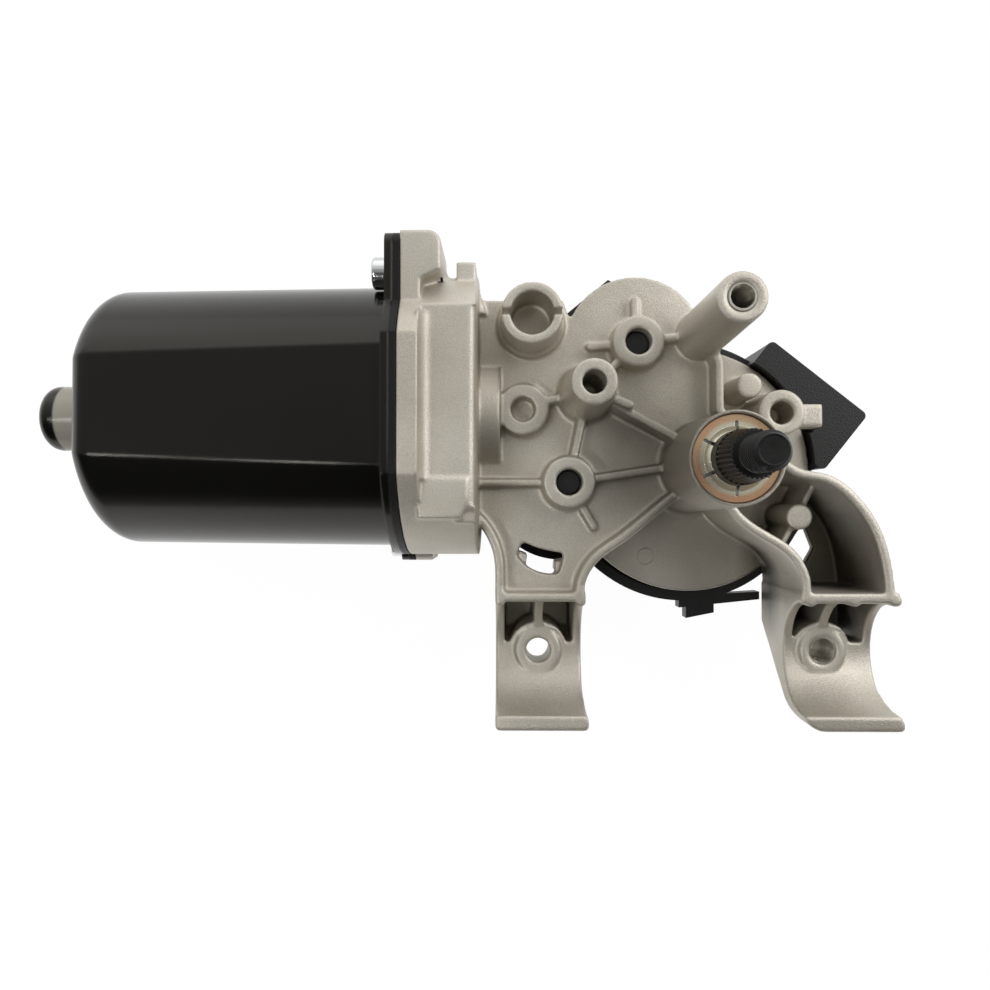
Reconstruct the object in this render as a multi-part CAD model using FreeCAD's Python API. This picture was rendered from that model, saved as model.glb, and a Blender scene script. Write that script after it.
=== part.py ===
"""Windscreen wiper motor with a double counter-gear drive, one STEP file for each piece.

Millimetres. The origin lies on the output shaft at the foot of its thread, +Z points out along
the shaft, +X points from the motor to the gears and -Y points to the two mounting feet.
"""
import FreeCAD, Part
import math
import os

V = FreeCAD.Vector
X_DIR = V(1, 0, 0)
Z_DIR = V(0, 0, 1)

# Armature line and the levels of the casting, as heights above the armature axis
SHAFT_FOOT_RISE = 50.0
ARM_Y = 13.0
WEB_RISE = 8.0
BOWL_DROP = 13.0
COVER_DROP = 22.0
RIM_RISE = 13.0
NECK_RISE = 37.0
LEG_DROP = 19.0

# Gear train
WORM_STARTS = 2
WORM_MODULE = 1.0
WORM_PITCH_R = 4.9
WHEEL_TEETH = 25
WHEEL_WIDTH = 6.0
FINAL_MODULE = 1.1
PINION_TEETH = 10
FINAL_TEETH = 54
FINAL_WIDTH = 4.5
PRESSURE_ANGLE = 20.0
BACKLASH = 0.34
WORM_GAP = 0.42
WORM_REACH = 7.0

# Running clearances and walls
RUN_GAP = 0.04
SEAT_GAP = 0.02
GEAR_GAP = 0.7
CAST_WALL = 2.5
RIB_T = 2.0
RIM_T = 2.3

# Motor case, brushes and armature
YOKE_R = 32.6
YOKE_MOUTH_R = 33.5
YOKE_FLAT = 30.5
YOKE_WALL = 1.8
YOKE_CORNER_R = 6.0
YOKE_BACK_X = -152.0
YOKE_FLANGE_X = -79.0
YOKE_FLANGE_T = 2.0
SEAL_T = 1.6
REAR_CUP_R = 8.5
REAR_CUP_L = 19.5
EAR_RISE = 41.3
EAR_FALL = 38.0
EAR_HALF = 10.0
EAR_X1 = -65.7
EAR_CORNER_R = 3.0
EAR_UNDERSIDE = [(-71.3, 42.4), (-65.7, 45.0)]
EAR_GUSSET = [(-71.0, 52.3), (-66.6, 52.3), (-64.4, 45.6), (-71.0, 45.6)]
FLANGE_R = 35.8
SCREW_OFFSET_Y = 33.5
SCREW_OFFSET_Z = 17.0
SCREW_R = 2.5
SCREW_HEAD_R = 3.9
SCREW_HEAD_L = 4.0
SCREW_REACH = 9.0
ARM_SHAFT_R = 4.0
CORE_R = 22.5
CORE_X0 = -138.0
CORE_X1 = -98.0
CORE_SLOTS = 12
MAGNET_GAP = 0.6
COIL_L = 7.0
COMM_R = 11.0
COMM_L = 15.0
COMM_BARS = 12
BEARING_R = 11.0
BEARING_W = 7.0
BEARING_X = -64.0
TIP_BUSH_R = 5.6
TIP_BUSH_L = 5.5
TIP_X = -11.0
TIP_PAD_T = 1.5

# Casting outside
FLANGE_T = 4.9
BARREL_R = 35.8
BARREL_FLAT = 27.0
BARREL_BORE_R = 26.0
BARREL_BORE_FLAT = 24.5
BARREL_BORE_X1 = -64.0
BARREL_X1 = -57.5
NECK_R = 14.6
NECK_X1 = -52.0
WEB_T = 3.5
SUNK = 0.5
TUNNEL_HALF = 9.5
TUNNEL_X1 = 3.2
SIDE_WALL_RISE = 14.0
SIDE_TAB_RISE = 1.5
SIDE_TAB_T = 7.0
WIDE_BOSS_RISE = 21.6
ARM_POST_RISE = 5.0
ARM_FLOOR_T = 3.0
HOOK_DROP = 8.0
SHAFT_NECK_R = 10.65
WASHER_SEAT_R = 9.9
WASHER_SEAT_DEPTH = 3.0

# Output shaft
SHAFT_R = 6.0
SPLINE_TOP_R = 5.2
SPLINE_L = 9.0
THREAD_R = 4.0
THREAD_L = 10.6
THREAD_NOSE_R = 3.05
BUSH_WALL = 1.5
BUSH_L = 12.0
WASHER_T = 0.8
WASHER_R = 9.7

# Feet
FOOT_Y = -48.0
SADDLE_R = 14.0
FOOT_BACK_Y = -42.5
FOOT_BACK_LOW = (-62.6, 2.0)
PAD_RISE = 0.4
POCKET_FOOT_Y = -46.0
FOOT_TIP_Y = -65.8
CROSS_Y = -31.8
LEFT_FOOT_X = (-53.2, -30.8)
RIGHT_FOOT_X = (22.2, 45.2)
LEFT_FLARE = 0.8
RIGHT_FLARE = 2.2
LEFT_TIP_R = 1.2
RIGHT_TIP_R = 6.0
FOOT_CORNER_R = 1.2
CROSS_T = 2.6
CROSS_X = (23.0, 46.3)
KNOB_R = 1.5
KNOB_X = (24.6, 35.4, 45.4)
LEFT_HOLE = (-42.1, 3.15)
RIGHT_HOLE = (32.1, 3.4)
FOOT_BOSS_R = 6.0

# Cover and connector
COVER_T = 2.2
GASKET_T = 0.8
COVER_REACH = 3.4
COVER_SKIRT_RISE = 2.0
COVER_SCREWS = [(-49.5, 26.5), (4.0, 37.5), (-50.5, -13.5)]
COVER_SCREW_R = 1.6
COVER_CORNER = [(-33.4, 45.2), (-21.0, 55.4), (-12.0, 50.0), (-29.0, 38.0)]
COVER_LATCH = [[(-1.0, -36.0), (22.0, -34.6), (22.0, -36.8), (-1.0, -39.2)], [(1.0, -38.0), (1.0, -42.2), (9.0, -40.6),
               (9.0, -37.5)]]
CONNECTOR_ANGLE = -38.5
CONNECTOR_L = 33.4
CONNECTOR_W = 19.7
CONNECTOR_CORNER = (22.8, 35.7)
CONNECTOR_WALL = 1.8
CONNECTOR_TOP_DROP = 10.0
MOUTH_W = 29.0
MOUTH_H = 7.6
MOUTH_DEPTH = 14.0
BLADE_COUNT = 5
BLADE_L = 6.0
BLADE_W = 2.0
BLADE_T = 0.8

ARM_Z = -SHAFT_FOOT_RISE
WEB_Z = ARM_Z + WEB_RISE
BOWL_Z = ARM_Z - BOWL_DROP
COVER_Z = ARM_Z - COVER_DROP
RIM_Z = ARM_Z + RIM_RISE
NECK_Z = ARM_Z + NECK_RISE
LEG_Z = ARM_Z - LEG_DROP
WHEEL_R = WORM_MODULE * WHEEL_TEETH / 2
COUNTER_OFFSET = WORM_PITCH_R + WHEEL_R
MESH_DIST = FINAL_MODULE * (PINION_TEETH + FINAL_TEETH) / 2
UPPER_Y = ARM_Y + COUNTER_OFFSET
LOWER_Y = ARM_Y - COUNTER_OFFSET
UPPER = (-math.sqrt(MESH_DIST ** 2 - UPPER_Y ** 2), UPPER_Y)
LOWER = (-math.sqrt(MESH_DIST ** 2 - LOWER_Y ** 2), LOWER_Y)
FINAL_TIP_R = FINAL_MODULE * (FINAL_TEETH / 2 + 0.8)
WHEEL_TIP_R = WHEEL_R + 0.9 * WORM_MODULE
WORM_TIP_R = WORM_PITCH_R + 0.9 * WORM_MODULE
WORM_ROOT_R = WORM_PITCH_R - 1.2 * WORM_MODULE
BOWL_ROOF_Z = BOWL_Z - CAST_WALL
FINAL_Z0 = BOWL_ROOF_Z - GEAR_GAP - FINAL_WIDTH
FLANGE_X0 = YOKE_FLANGE_X + YOKE_FLANGE_T + SEAL_T
FLANGE_X1 = FLANGE_X0 + FLANGE_T
LOBE_R = WHEEL_TIP_R + GEAR_GAP + 3.6
BOWL_R = FINAL_TIP_R + GEAR_GAP + CAST_WALL
PIN_R = 2.8
SLEEVE_R = 4.1
IDLER_BOSS_Z = ARM_Z + 14.5
REAR_BUSH_L = 9.0
REAR_BUSH_X0 = YOKE_BACK_X - REAR_CUP_L + YOKE_WALL + 2.0
COMM_X0 = CORE_X1 + COIL_L + 1.0
BRUSH_CARD_X = FLANGE_X0 + 1.5
PARK_RING_T = 0.4
SPLINE_TEETH = 32
THRUST_T = 1.0

# Casting outlines seen from the front: X and Y on the output shaft's axis
WEB_OUTLINE = [(-57.5, 42.3), (-36.0, 42.3), (-34.5, 38.0), (-18.0, 40.0), (-4.0, 38.0), (3.2, 33.0),
               (3.2, 8.0), (-6.0, -5.0), (-22.5, -18.4), (-30.6, -24.7), (-31.6, -31.8),
               (-52.5, -31.8), (-53.3, -20.75), (-57.5, -13.2)]
WINDOW_TOP = [(-46.4, -19.2), (-41.0, -21.3), (-35.6, -22.1)]
WINDOW_CORNER_R = 1.1
WINDOW_FOOT = [(-37.2, -27.4), (-42.8, -26.8), (-47.8, -22.8)]
LEFT_RIM = [(-58.6, -12.2), (-54.4, -17.2), (-52.6, -21.8), (-52.05, -27.4), (-52.05, -34.0)]
LEFT_RAISED = (-70.0, -40.0, -22.0, 0.0)
RIGHT_RAISED = (-45.0, 0.0, -24.0, 0.0)
RIGHT_RIM = [(-7.1, -6.5), (-14.7, -12.5), (-22.3, -18.6), (-28.0, -22.7), (-31.0, -26.6), (-31.9, -34.0)]
SIDE_WALL = [(0.0, 31.0), (2.2, 25.0), (2.2, 13.5), (5.0, 10.0)]
ARM_INNER = [(4.6, -9.6), (7.4, -13.3), (13.2, -17.5), (19.3, -21.4), (22.6, -26.0), (23.35, -33.0)]
ARM_INNER_RAISED = (0.0, 30.0, -21.4, 0.0)
ARM_OUTER = [(9.0, 4.0), (16.6, 1.6), (21.6, -2.0), (28.2, -3.4), (35.0, -8.0), (40.4, -15.6), (43.1, -24.2),
             (44.1, -33.0)]
ARM_OUTER_RAISED = (0.0, 21.6, -10.0, 10.0)
ARM_FLOOR = [(26.0, -3.0), (34.9, -8.3), (39.5, -14.5), (42.9, -23.9), (44.0, -33.0), (23.4, -33.0),
             (22.6, -25.4), (19.3, -21.2), (24.0, -10.0)]
ARM_WINDOW = [(32.1, -16.8), (33.8, -16.2), (36.0, -22.0), (32.9, -27.5), (28.7, -22.0)]
ARM_POST = (24.8, -13.0)
ARM_POST_RIBS = [(28.9, -5.3), (21.0, -20.0)]
ARM_POST_R = 3.35
ARM_POST_RIB_T = 1.5
SIDE_TAB = [(21.0, 16.4), (32.2, 16.4), (32.2, 10.5), (21.0, 10.5)]
UPPER_LUG = [(-62.6, 33.0), (-62.6, 49.4), (-57.9, 49.4), (-57.9, 33.0)]
UPPER_LUG_WEB = [(-60.0, 48.6), (-58.2, 48.6), (-55.6, 38.4), (-60.0, 38.4)]
LOWER_LUG = [(-62.6, -2.0), (-62.6, -14.4), (-57.6, -14.4), (-57.6, -2.0)]
LOWER_LEDGE = [(-71.0, -4.0), (-71.0, -13.4), (-61.0, -13.4), (-59.4, -8.6), (-59.4, -4.0)]
WINDOW_HOOKS = [[(-48.4, -24.2), (-45.6, -25.8), (-45.0, -22.6), (-48.4, -21.4)],
                [(-38.2, -27.0), (-35.2, -26.8), (-35.0, -23.8), (-38.0, -24.4)]]

# Bosses: X, Y, base level, top level, base radius, top radius
BOSSES = [(-1.4, 32.9, BOWL_Z, ARM_Z + 46.0, 6.6, 5.4),
          (-44.2, 35.8, WEB_Z - 3.0, ARM_Z + 10.0, 8.7, 8.6),
          (-44.2, 35.8, WEB_Z, ARM_Z + WIDE_BOSS_RISE, 7.7, 7.4),
          (-46.2, 13.9, WEB_Z - 1.0, ARM_Z + 12.0, 6.6, 6.4),
          (-30.2, 18.1, WEB_Z - 1.0, ARM_Z + 29.0, 7.2, 5.4),
          (UPPER[0], UPPER[1], WEB_Z - 1.0, IDLER_BOSS_Z, 6.6, 6.4),
          (LOWER[0], LOWER[1], WEB_Z - 1.0, IDLER_BOSS_Z, 6.6, 6.4),
          (20.8, 13.9, BOWL_Z - 1.0, ARM_Z + 4.0, 6.3, 5.95),
          (13.4, 21.4, BOWL_Z - 1.0, ARM_Z + 1.0, 3.6, 3.3)]
# Holes in the bosses: X, Y, radius, lower level, upper level
BOSS_HOLES = [(-1.4, 32.9, 2.75, ARM_Z + 22.0, ARM_Z + 47.0),
              (-44.2, 35.8, 5.2, WEB_Z + 1.0, ARM_Z + 23.0),
              (-46.2, 13.9, 3.05, WEB_Z - 0.5, ARM_Z + 13.0),
              (-30.2, 18.1, 2.75, WEB_Z + 1.0, ARM_Z + 30.0),
              (UPPER[0], UPPER[1], 3.25, WEB_Z + 0.5, IDLER_BOSS_Z + 1.0),
              (LOWER[0], LOWER[1], 3.25, WEB_Z + 0.5, IDLER_BOSS_Z + 1.0),
              (20.8, 13.9, 3.0, ARM_Z - 8.0, ARM_Z + 5.0)]
# Ribs on the web: two ends and the height of the top above the armature axis
RIBS = [(LOWER, (-57.0, LOWER[1]), 10.5), (LOWER, (-9.0, -0.5), 11.5), (LOWER, (-28.4, -15.5), 10.0),
        (LOWER, (-30.2, 18.1), 13.0), ((-30.2, 18.1), (-46.2, 15.0), 12.0), ((-30.2, 18.1), UPPER, 13.0),
        ((-30.2, 18.1), (-7.5, 5.8), 16.0), ((-30.2, 18.1), (-20.6, 14.1), 19.0), (UPPER, (-29.4, 29.9), 11.0),
        (UPPER, (-18.0, 41.5), 11.0), (UPPER, (-1.4, 32.9), 12.5)]
# The slot across the wide boss, as its middle in Y, its width and its depth
BOSS_SLOT = (36.1, 1.4, 5.0)
BOSS_SLOT_X = (-53.0, -35.0)


def rod(r, length, place, direction=Z_DIR):
    """A round bar that starts at place and runs along direction."""
    return Part.makeCylinder(r, length, V(*place), direction)


def tube(r_out, r_in, length, place, direction=Z_DIR):
    """A round tube."""
    return rod(r_out, length, place, direction).cut(rod(r_in, length, place, direction))


def upright(r, z0, z1, centre):
    """A round bar between two heights."""
    return rod(r, z1 - z0, (centre[0], centre[1], z0))


def tapered(r0, r1, z0, z1, centre):
    """A cone with draft between two heights."""
    return Part.makeCone(r0, r1, z1 - z0, V(centre[0], centre[1], z0), Z_DIR)


def slab(points, z0, z1):
    """A flat plate with a straight-sided outline."""
    loop = [V(x, y, z0) for x, y in points]
    face = Part.Face(Part.makePolygon(loop + loop[:1]))
    return face.extrude(V(0, 0, z1 - z0))


def block(x0, x1, y0, y1, z0, z1):
    """A plain block between three pairs of limits."""
    return Part.makeBox(x1 - x0, y1 - y0, z1 - z0, V(x0, y0, z0))


def rib(start, end, width, z0, z1):
    """A straight rib with round ends, seen from above between two points."""
    along = V(end[0] - start[0], end[1] - start[1], 0)
    length = along.Length
    turn = math.degrees(math.atan2(along.y, along.x))
    bar = Part.makeBox(length, width, z1 - z0, V(0, -width / 2, 0))
    bar.rotate(V(0, 0, 0), Z_DIR, turn)
    bar.translate(V(start[0], start[1], z0))
    return bar.fuse([upright(width / 2, z0, z1, start), upright(width / 2, z0, z1, end)])


def chain(points, width, z0, z1):
    """A wall that follows a line of points."""
    pieces = [rib(a, b, width, z0, z1) for a, b in zip(points, points[1:])]
    return pieces[0].multiFuse(pieces[1:]) if len(pieces) > 1 else pieces[0]


def smooth_curve(points, z):
    """A smooth curve through points at one height."""
    curve = Part.BSplineCurve()
    curve.interpolate([V(x, y, z) for x, y in points])
    return curve


def bent_wall(points, width, z0, z1):
    """A wall with round ends that follows a smooth curve through the points."""
    curve = smooth_curve(points, z0)
    sides = []
    for side in (-1, 1):
        line = []
        for x, y in points:
            along = curve.tangent(curve.parameter(V(x, y, z0)))[0]
            line.append((x - along.y * side * width / 2, y + along.x * side * width / 2))
        sides.append(line)
    near, far = sides
    edges = [smooth_curve(near, z0).toShape(), Part.makeLine(V(*near[-1], z0), V(*far[-1], z0)),
             smooth_curve(far[::-1], z0).toShape(), Part.makeLine(V(*far[0], z0), V(*near[0], z0))]
    wall = Part.Face(Part.Wire(edges)).extrude(V(0, 0, z1 - z0))
    return wall.fuse([upright(width / 2, z0, z1, end) for end in (points[0], points[-1])])


def stepped_wall(points, foot_z, step_z, raised):
    """A rim wall from a low foot, whose foot rises to a step inside limits of X and Y."""
    x0, x1, y0, y1 = raised
    return bent_wall(points, RIM_T, foot_z, RIM_Z).cut(block(x0, x1, y0, y1, foot_z - 1, step_z))


def window_shape(z0, z1):
    """The curved opening below the lower gear lobe."""
    arcs = [Part.Arc(*[V(x, y, z0) for x, y in side]) for side in (WINDOW_TOP, WINDOW_FOOT)]
    ends = [(WINDOW_TOP[-1], WINDOW_FOOT[0]), (WINDOW_FOOT[-1], WINDOW_TOP[0])]
    lines = [Part.makeLine(V(*a, z0), V(*b, z0)) for a, b in ends]
    hole = Part.Face(Part.Wire([arcs[0].toShape(), lines[0], arcs[1].toShape(), lines[1]])).extrude(V(0, 0, z1 - z0))
    return hole.makeFillet(WINDOW_CORNER_R, [e for e in hole.Edges if abs(e.Length - (z1 - z0)) < 0.01])


def upright_edges(shape, x, y):
    """The edges along Z at one place."""
    found = []
    for edge in shape.Edges:
        middle = edge.CenterOfMass
        if math.hypot(middle.x - x, middle.y - y) < 0.01 and len(edge.Vertexes) == 2:
            found.append(edge)
    return found


def joined(pieces):
    """All pieces fused into one solid without leftover seams."""
    return pieces[0].multiFuse(pieces[1:]).removeSplitter()


def built_up(pieces):
    """Pieces added one after another."""
    body = pieces[0]
    for piece in pieces[1:]:
        body = body.fuse(piece)
    return body


def cut_away(body, tools):
    """Tools cut out one after another."""
    for tool in tools:
        body = body.cut(tool)
    return body


def involute(angle):
    """The involute function of a pressure angle."""
    return math.tan(angle) - angle


def gear_wire(module, teeth, tip, root, slack, phase, z):
    """One closed outline of involute teeth, a tooth centred on the phase angle."""
    pitch_r = module * teeth / 2
    pressure = math.radians(PRESSURE_ANGLE)
    base_r = pitch_r * math.cos(pressure)
    half = math.pi / (2 * teeth) - slack / (2 * pitch_r) + involute(pressure)
    flank = []
    for radius in (root, max(pitch_r, base_r + 0.01), tip):
        lean = math.acos(min(1.0, base_r / radius))
        flank.append((radius, half - involute(lean)))
    points = []
    for tooth in range(teeth):
        middle = phase + 2 * math.pi * tooth / teeth
        rising = [(radius, middle - spread) for radius, spread in flank]
        falling = [(radius, middle + spread) for radius, spread in reversed(flank)]
        for radius, angle in rising + falling:
            points.append(V(radius * math.cos(angle), radius * math.sin(angle), z))
    return Part.makePolygon(points + points[:1])


def spur_gear(module, teeth, width, slack, phase, centre, z0):
    """A straight-toothed gear."""
    pitch_r = module * teeth / 2
    wire = gear_wire(module, teeth, pitch_r + 0.8 * module, pitch_r - 1.15 * module, slack, phase, 0)
    gear = Part.Face(wire).extrude(V(0, 0, width))
    gear.translate(V(centre[0], centre[1], z0))
    return gear


def helical_gear(module, teeth, width, slack, phase, twist, centre, z0):
    """A gear whose teeth turn by a twist angle over its width."""
    tip = module * teeth / 2 + 0.9 * module
    root = module * teeth / 2 - 1.1 * module
    ends = []
    for share in (0.0, 1.0):
        angle = phase + twist * (share - 0.5)
        ends.append(gear_wire(module, teeth, tip, root, slack, angle, width * share))
    gear = Part.makeLoft(ends, True, True)
    gear.translate(V(centre[0], centre[1], z0))
    return gear


def worm_thread(middle_x, gap_x, hand):
    """Both starts of one worm thread, right-handed for 1 and left-handed for -1."""
    axial_pitch = math.pi * WORM_MODULE
    lead = axial_pitch * WORM_STARTS
    length = 2 * WORM_REACH
    half_pitch = axial_pitch / 4 - WORM_GAP / 2
    slope = math.tan(math.radians(PRESSURE_ANGLE))
    sunk_r = WORM_ROOT_R - 0.4
    wide = half_pitch + slope * (WORM_PITCH_R - sunk_r)
    thin = half_pitch - slope * (WORM_TIP_R - WORM_PITCH_R)
    threads = []
    for start in range(WORM_STARTS):
        path = Part.makeHelix(lead, length, WORM_PITCH_R, 0, hand < 0)
        section = Part.makePolygon([V(sunk_r, 0, -wide), V(WORM_TIP_R, 0, -thin), V(WORM_TIP_R, 0, thin),
                                    V(sunk_r, 0, wide), V(sunk_r, 0, -wide)])
        thread = Part.Wire(path.Edges).makePipeShell([section], True, True)
        thread.rotate(V(0, 0, 0), Z_DIR, 360.0 * start / WORM_STARTS)
        threads.append(thread)
    begin = middle_x - WORM_REACH
    offset = (gap_x + axial_pitch / 2 - begin) % axial_pitch
    for thread in threads:
        thread.rotate(V(0, 0, 0), Z_DIR, -hand * 360.0 * offset / lead)
        thread.rotate(V(0, 0, 0), V(1, 1, 1), 120.0)
        thread.translate(V(begin, ARM_Y, ARM_Z))
    return threads


def armature_rod(r, x0, x1):
    """A round bar on the armature axis."""
    return rod(r, x1 - x0, (x0, ARM_Y, ARM_Z), X_DIR)


def make_armature_shaft():
    """The steel shaft with its two opposite worm threads."""
    worm_x0 = LOWER[0] - WORM_REACH - 1.0
    worm_x1 = UPPER[0] + WORM_REACH
    rear = armature_rod(ARM_SHAFT_R, REAR_BUSH_X0 - 1.5, worm_x0)
    front = armature_rod(ARM_SHAFT_R, worm_x1, TIP_X + TIP_BUSH_L)
    core = armature_rod(WORM_ROOT_R, worm_x0, worm_x1)
    threads = worm_thread(LOWER[0], LOWER[0], -1) + worm_thread(UPPER[0], UPPER[0], 1)
    return rear.multiFuse([front, core] + threads)


def spread(count, first=0.0):
    """Evenly spaced angles round a full turn, in degrees."""
    return [first + 360.0 * step / count for step in range(count)]


def turned(shape, angle):
    """A copy turned about the armature axis."""
    copy = shape.copy()
    copy.rotate(V(0, ARM_Y, ARM_Z), X_DIR, angle)
    return copy


def make_armature_core():
    """Stacked laminations with open slots."""
    core = armature_rod(CORE_R, CORE_X0, CORE_X1).cut(armature_rod(ARM_SHAFT_R + SEAT_GAP, CORE_X0, CORE_X1))
    neck = block(CORE_X0, CORE_X1, ARM_Y + CORE_R - 3.0, ARM_Y + CORE_R + 1, ARM_Z - 1.1, ARM_Z + 1.1)
    pocket = slab([(CORE_X0, ARM_Y + 11), (CORE_X1, ARM_Y + 11), (CORE_X1, ARM_Y + CORE_R - 2),
                   (CORE_X0, ARM_Y + CORE_R - 2)], ARM_Z - 2.6, ARM_Z + 2.6)
    slot = neck.fuse(pocket)
    return core.cut([turned(slot, angle) for angle in spread(CORE_SLOTS)])


def make_armature_windings():
    """Copper in the slots, with a rounded coil end on each side of the core."""
    inner = 11.0 + SEAT_GAP
    outer = CORE_R - 2.6
    bar = block(CORE_X0, CORE_X1, ARM_Y + inner, ARM_Y + outer, ARM_Z - 2.4, ARM_Z + 2.4)
    bars = [turned(bar, angle) for angle in spread(CORE_SLOTS)]
    ends = []
    for x0, x1 in ((CORE_X0 - COIL_L, CORE_X0), (CORE_X1, CORE_X1 + COIL_L)):
        ring = armature_rod(outer, x0, x1).cut(armature_rod(7.0, x0, x1))
        ends.append(ring.makeFillet(2.2, [e for e in ring.Edges if e.Closed and e.Length > 90]))
    return ends[0].multiFuse(ends[1:] + bars)


def make_commutator():
    """Copper bars round an insulating hub."""
    x1 = COMM_X0 + COMM_L
    ring = armature_rod(COMM_R, COMM_X0, x1).cut(armature_rod(ARM_SHAFT_R + SEAT_GAP, COMM_X0, x1))
    riser = armature_rod(COMM_R + 1.8, COMM_X0, COMM_X0 + 2.0)
    ring = ring.fuse(riser.cut(armature_rod(COMM_R - 1, COMM_X0, COMM_X0 + 2.0)))
    groove = block(COMM_X0 - 1, x1 + 1, ARM_Y + COMM_R - 1.2, ARM_Y + COMM_R + 2.2, ARM_Z - 0.3, ARM_Z + 0.3)
    return ring.cut([turned(groove, angle) for angle in spread(COMM_BARS, 15.0)])


def can_shape(radius, flat, x0, x1):
    """A round bar with a flat in front and behind."""
    return armature_rod(radius, x0, x1).common(
        block(x0, x1, ARM_Y - radius, ARM_Y + radius, ARM_Z - flat, ARM_Z + flat))


def drawn_case(inset, x0, x1):
    """The motor case's tapered form, shrunk all round by an inset."""
    cone = Part.makeCone(YOKE_R - inset, YOKE_MOUTH_R - inset, x1 - x0, V(x0, ARM_Y, ARM_Z), X_DIR)
    flat = YOKE_FLAT - inset
    return cone.common(block(x0, x1, ARM_Y - 2 * YOKE_R, ARM_Y + 2 * YOKE_R, ARM_Z - flat, ARM_Z + flat))


def flange_plate(x0, x1):
    """The joint's outline: a flatted disc with an ear at each screw."""
    plate = can_shape(FLANGE_R, YOKE_FLAT + 1.5, x0, x1)
    upper = block(x0, x1, ARM_Y, ARM_Y + EAR_RISE, ARM_Z + SCREW_OFFSET_Z - EAR_HALF,
                  ARM_Z + SCREW_OFFSET_Z + EAR_HALF - 1)
    lower = block(x0, x1, ARM_Y - EAR_FALL, ARM_Y, ARM_Z - SCREW_OFFSET_Z - EAR_HALF + 1,
                  ARM_Z - SCREW_OFFSET_Z + EAR_HALF)
    corners = [e for e in upper.Edges if abs(e.CenterOfMass.y - ARM_Y - EAR_RISE) < 0.1
               and abs(e.Length - (x1 - x0)) < 0.01]
    upper = upper.makeFillet(EAR_CORNER_R, corners)
    corners = [e for e in lower.Edges if abs(e.CenterOfMass.y - ARM_Y + EAR_FALL) < 0.1
               and abs(e.Length - (x1 - x0)) < 0.01]
    lower = lower.makeFillet(EAR_CORNER_R, corners)
    return plate.multiFuse([upper, lower]).removeSplitter()


def screw_places():
    """The two screws that hold the motor case, as Y and Z."""
    return [(ARM_Y + SCREW_OFFSET_Y, ARM_Z + SCREW_OFFSET_Z), (ARM_Y - SCREW_OFFSET_Y, ARM_Z - SCREW_OFFSET_Z)]


def screw_bores(radius, x0, x1):
    """Round bars through both screw places."""
    return [rod(radius, x1 - x0, (x0, y, z), X_DIR) for y, z in screw_places()]


def make_motor_yoke():
    """The deep-drawn steel case with its bearing cup and flange."""
    body = drawn_case(0, YOKE_BACK_X, YOKE_FLANGE_X + YOKE_FLANGE_T)
    back = [e for e in body.Edges if abs(e.CenterOfMass.x - YOKE_BACK_X) < 0.01]
    body = body.makeFillet(YOKE_CORNER_R, back)
    cup = armature_rod(REAR_CUP_R, YOKE_BACK_X - REAR_CUP_L, YOKE_BACK_X + 1)
    tip = [e for e in cup.Edges if abs(e.CenterOfMass.x - YOKE_BACK_X + REAR_CUP_L) < 0.01]
    cup = cup.makeFillet(3.5, tip)
    body = body.multiFuse([cup, flange_plate(YOKE_FLANGE_X, YOKE_FLANGE_X + YOKE_FLANGE_T)])
    hollow = drawn_case(YOKE_WALL, YOKE_BACK_X + YOKE_WALL, YOKE_FLANGE_X + YOKE_FLANGE_T)
    back = [e for e in hollow.Edges if abs(e.CenterOfMass.x - YOKE_BACK_X - YOKE_WALL) < 0.01]
    hollow = hollow.makeFillet(YOKE_CORNER_R - YOKE_WALL, back)
    bore = armature_rod(REAR_CUP_R - YOKE_WALL, YOKE_BACK_X - REAR_CUP_L + YOKE_WALL, YOKE_BACK_X + 3)
    holes = screw_bores(SCREW_R + 0.2, YOKE_FLANGE_X - 1, YOKE_FLANGE_X + YOKE_FLANGE_T + 1)
    return body.cut([hollow, bore] + holes)


def make_yoke_seal():
    """The rubber seal between the case and the casting."""
    x0 = YOKE_FLANGE_X + YOKE_FLANGE_T
    plate = flange_plate(x0, x0 + SEAL_T)
    return plate.cut([armature_rod(BARREL_BORE_R + 1, x0, x0 + SEAL_T)] + screw_bores(SCREW_R + 0.2, x0, x0 + SEAL_T))


def make_yoke_screws():
    """Two screws from the case side."""
    solids = []
    for y, z in screw_places():
        head = rod(SCREW_HEAD_R, SCREW_HEAD_L, (YOKE_FLANGE_X - SCREW_HEAD_L, y, z), X_DIR)
        rim = [e for e in head.Edges if e.Closed and abs(e.CenterOfMass.x - YOKE_FLANGE_X + SCREW_HEAD_L) < 0.01]
        head = head.makeFillet(0.8, rim)
        shank = rod(SCREW_R, YOKE_FLANGE_T + SEAL_T + SCREW_REACH, (YOKE_FLANGE_X, y, z), X_DIR)
        solids.append(head.fuse(shank).removeSplitter())
    return Part.makeCompound(solids)


def make_magnet(side):
    """One arc magnet glued inside the case, above or below the armature."""
    outer = YOKE_R - YOKE_WALL - SEAT_GAP
    inner = CORE_R + MAGNET_GAP
    ring = tube(outer, inner, CORE_X1 - CORE_X0 + 8, (CORE_X0 - 4, ARM_Y, ARM_Z), X_DIR)
    reach = outer + 5
    rise = reach * math.cos(math.radians(54))
    width = reach * math.sin(math.radians(54))
    wedge = Part.Face(Part.makePolygon([V(CORE_X0 - 4, ARM_Y, ARM_Z), V(CORE_X0 - 4, ARM_Y + side * rise, ARM_Z - width),
                                        V(CORE_X0 - 4, ARM_Y + side * reach * 1.6, ARM_Z),
                                        V(CORE_X0 - 4, ARM_Y + side * rise, ARM_Z + width),
                                        V(CORE_X0 - 4, ARM_Y, ARM_Z)]))
    return ring.common(wedge.extrude(V(CORE_X1 - CORE_X0 + 8, 0, 0)))


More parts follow.
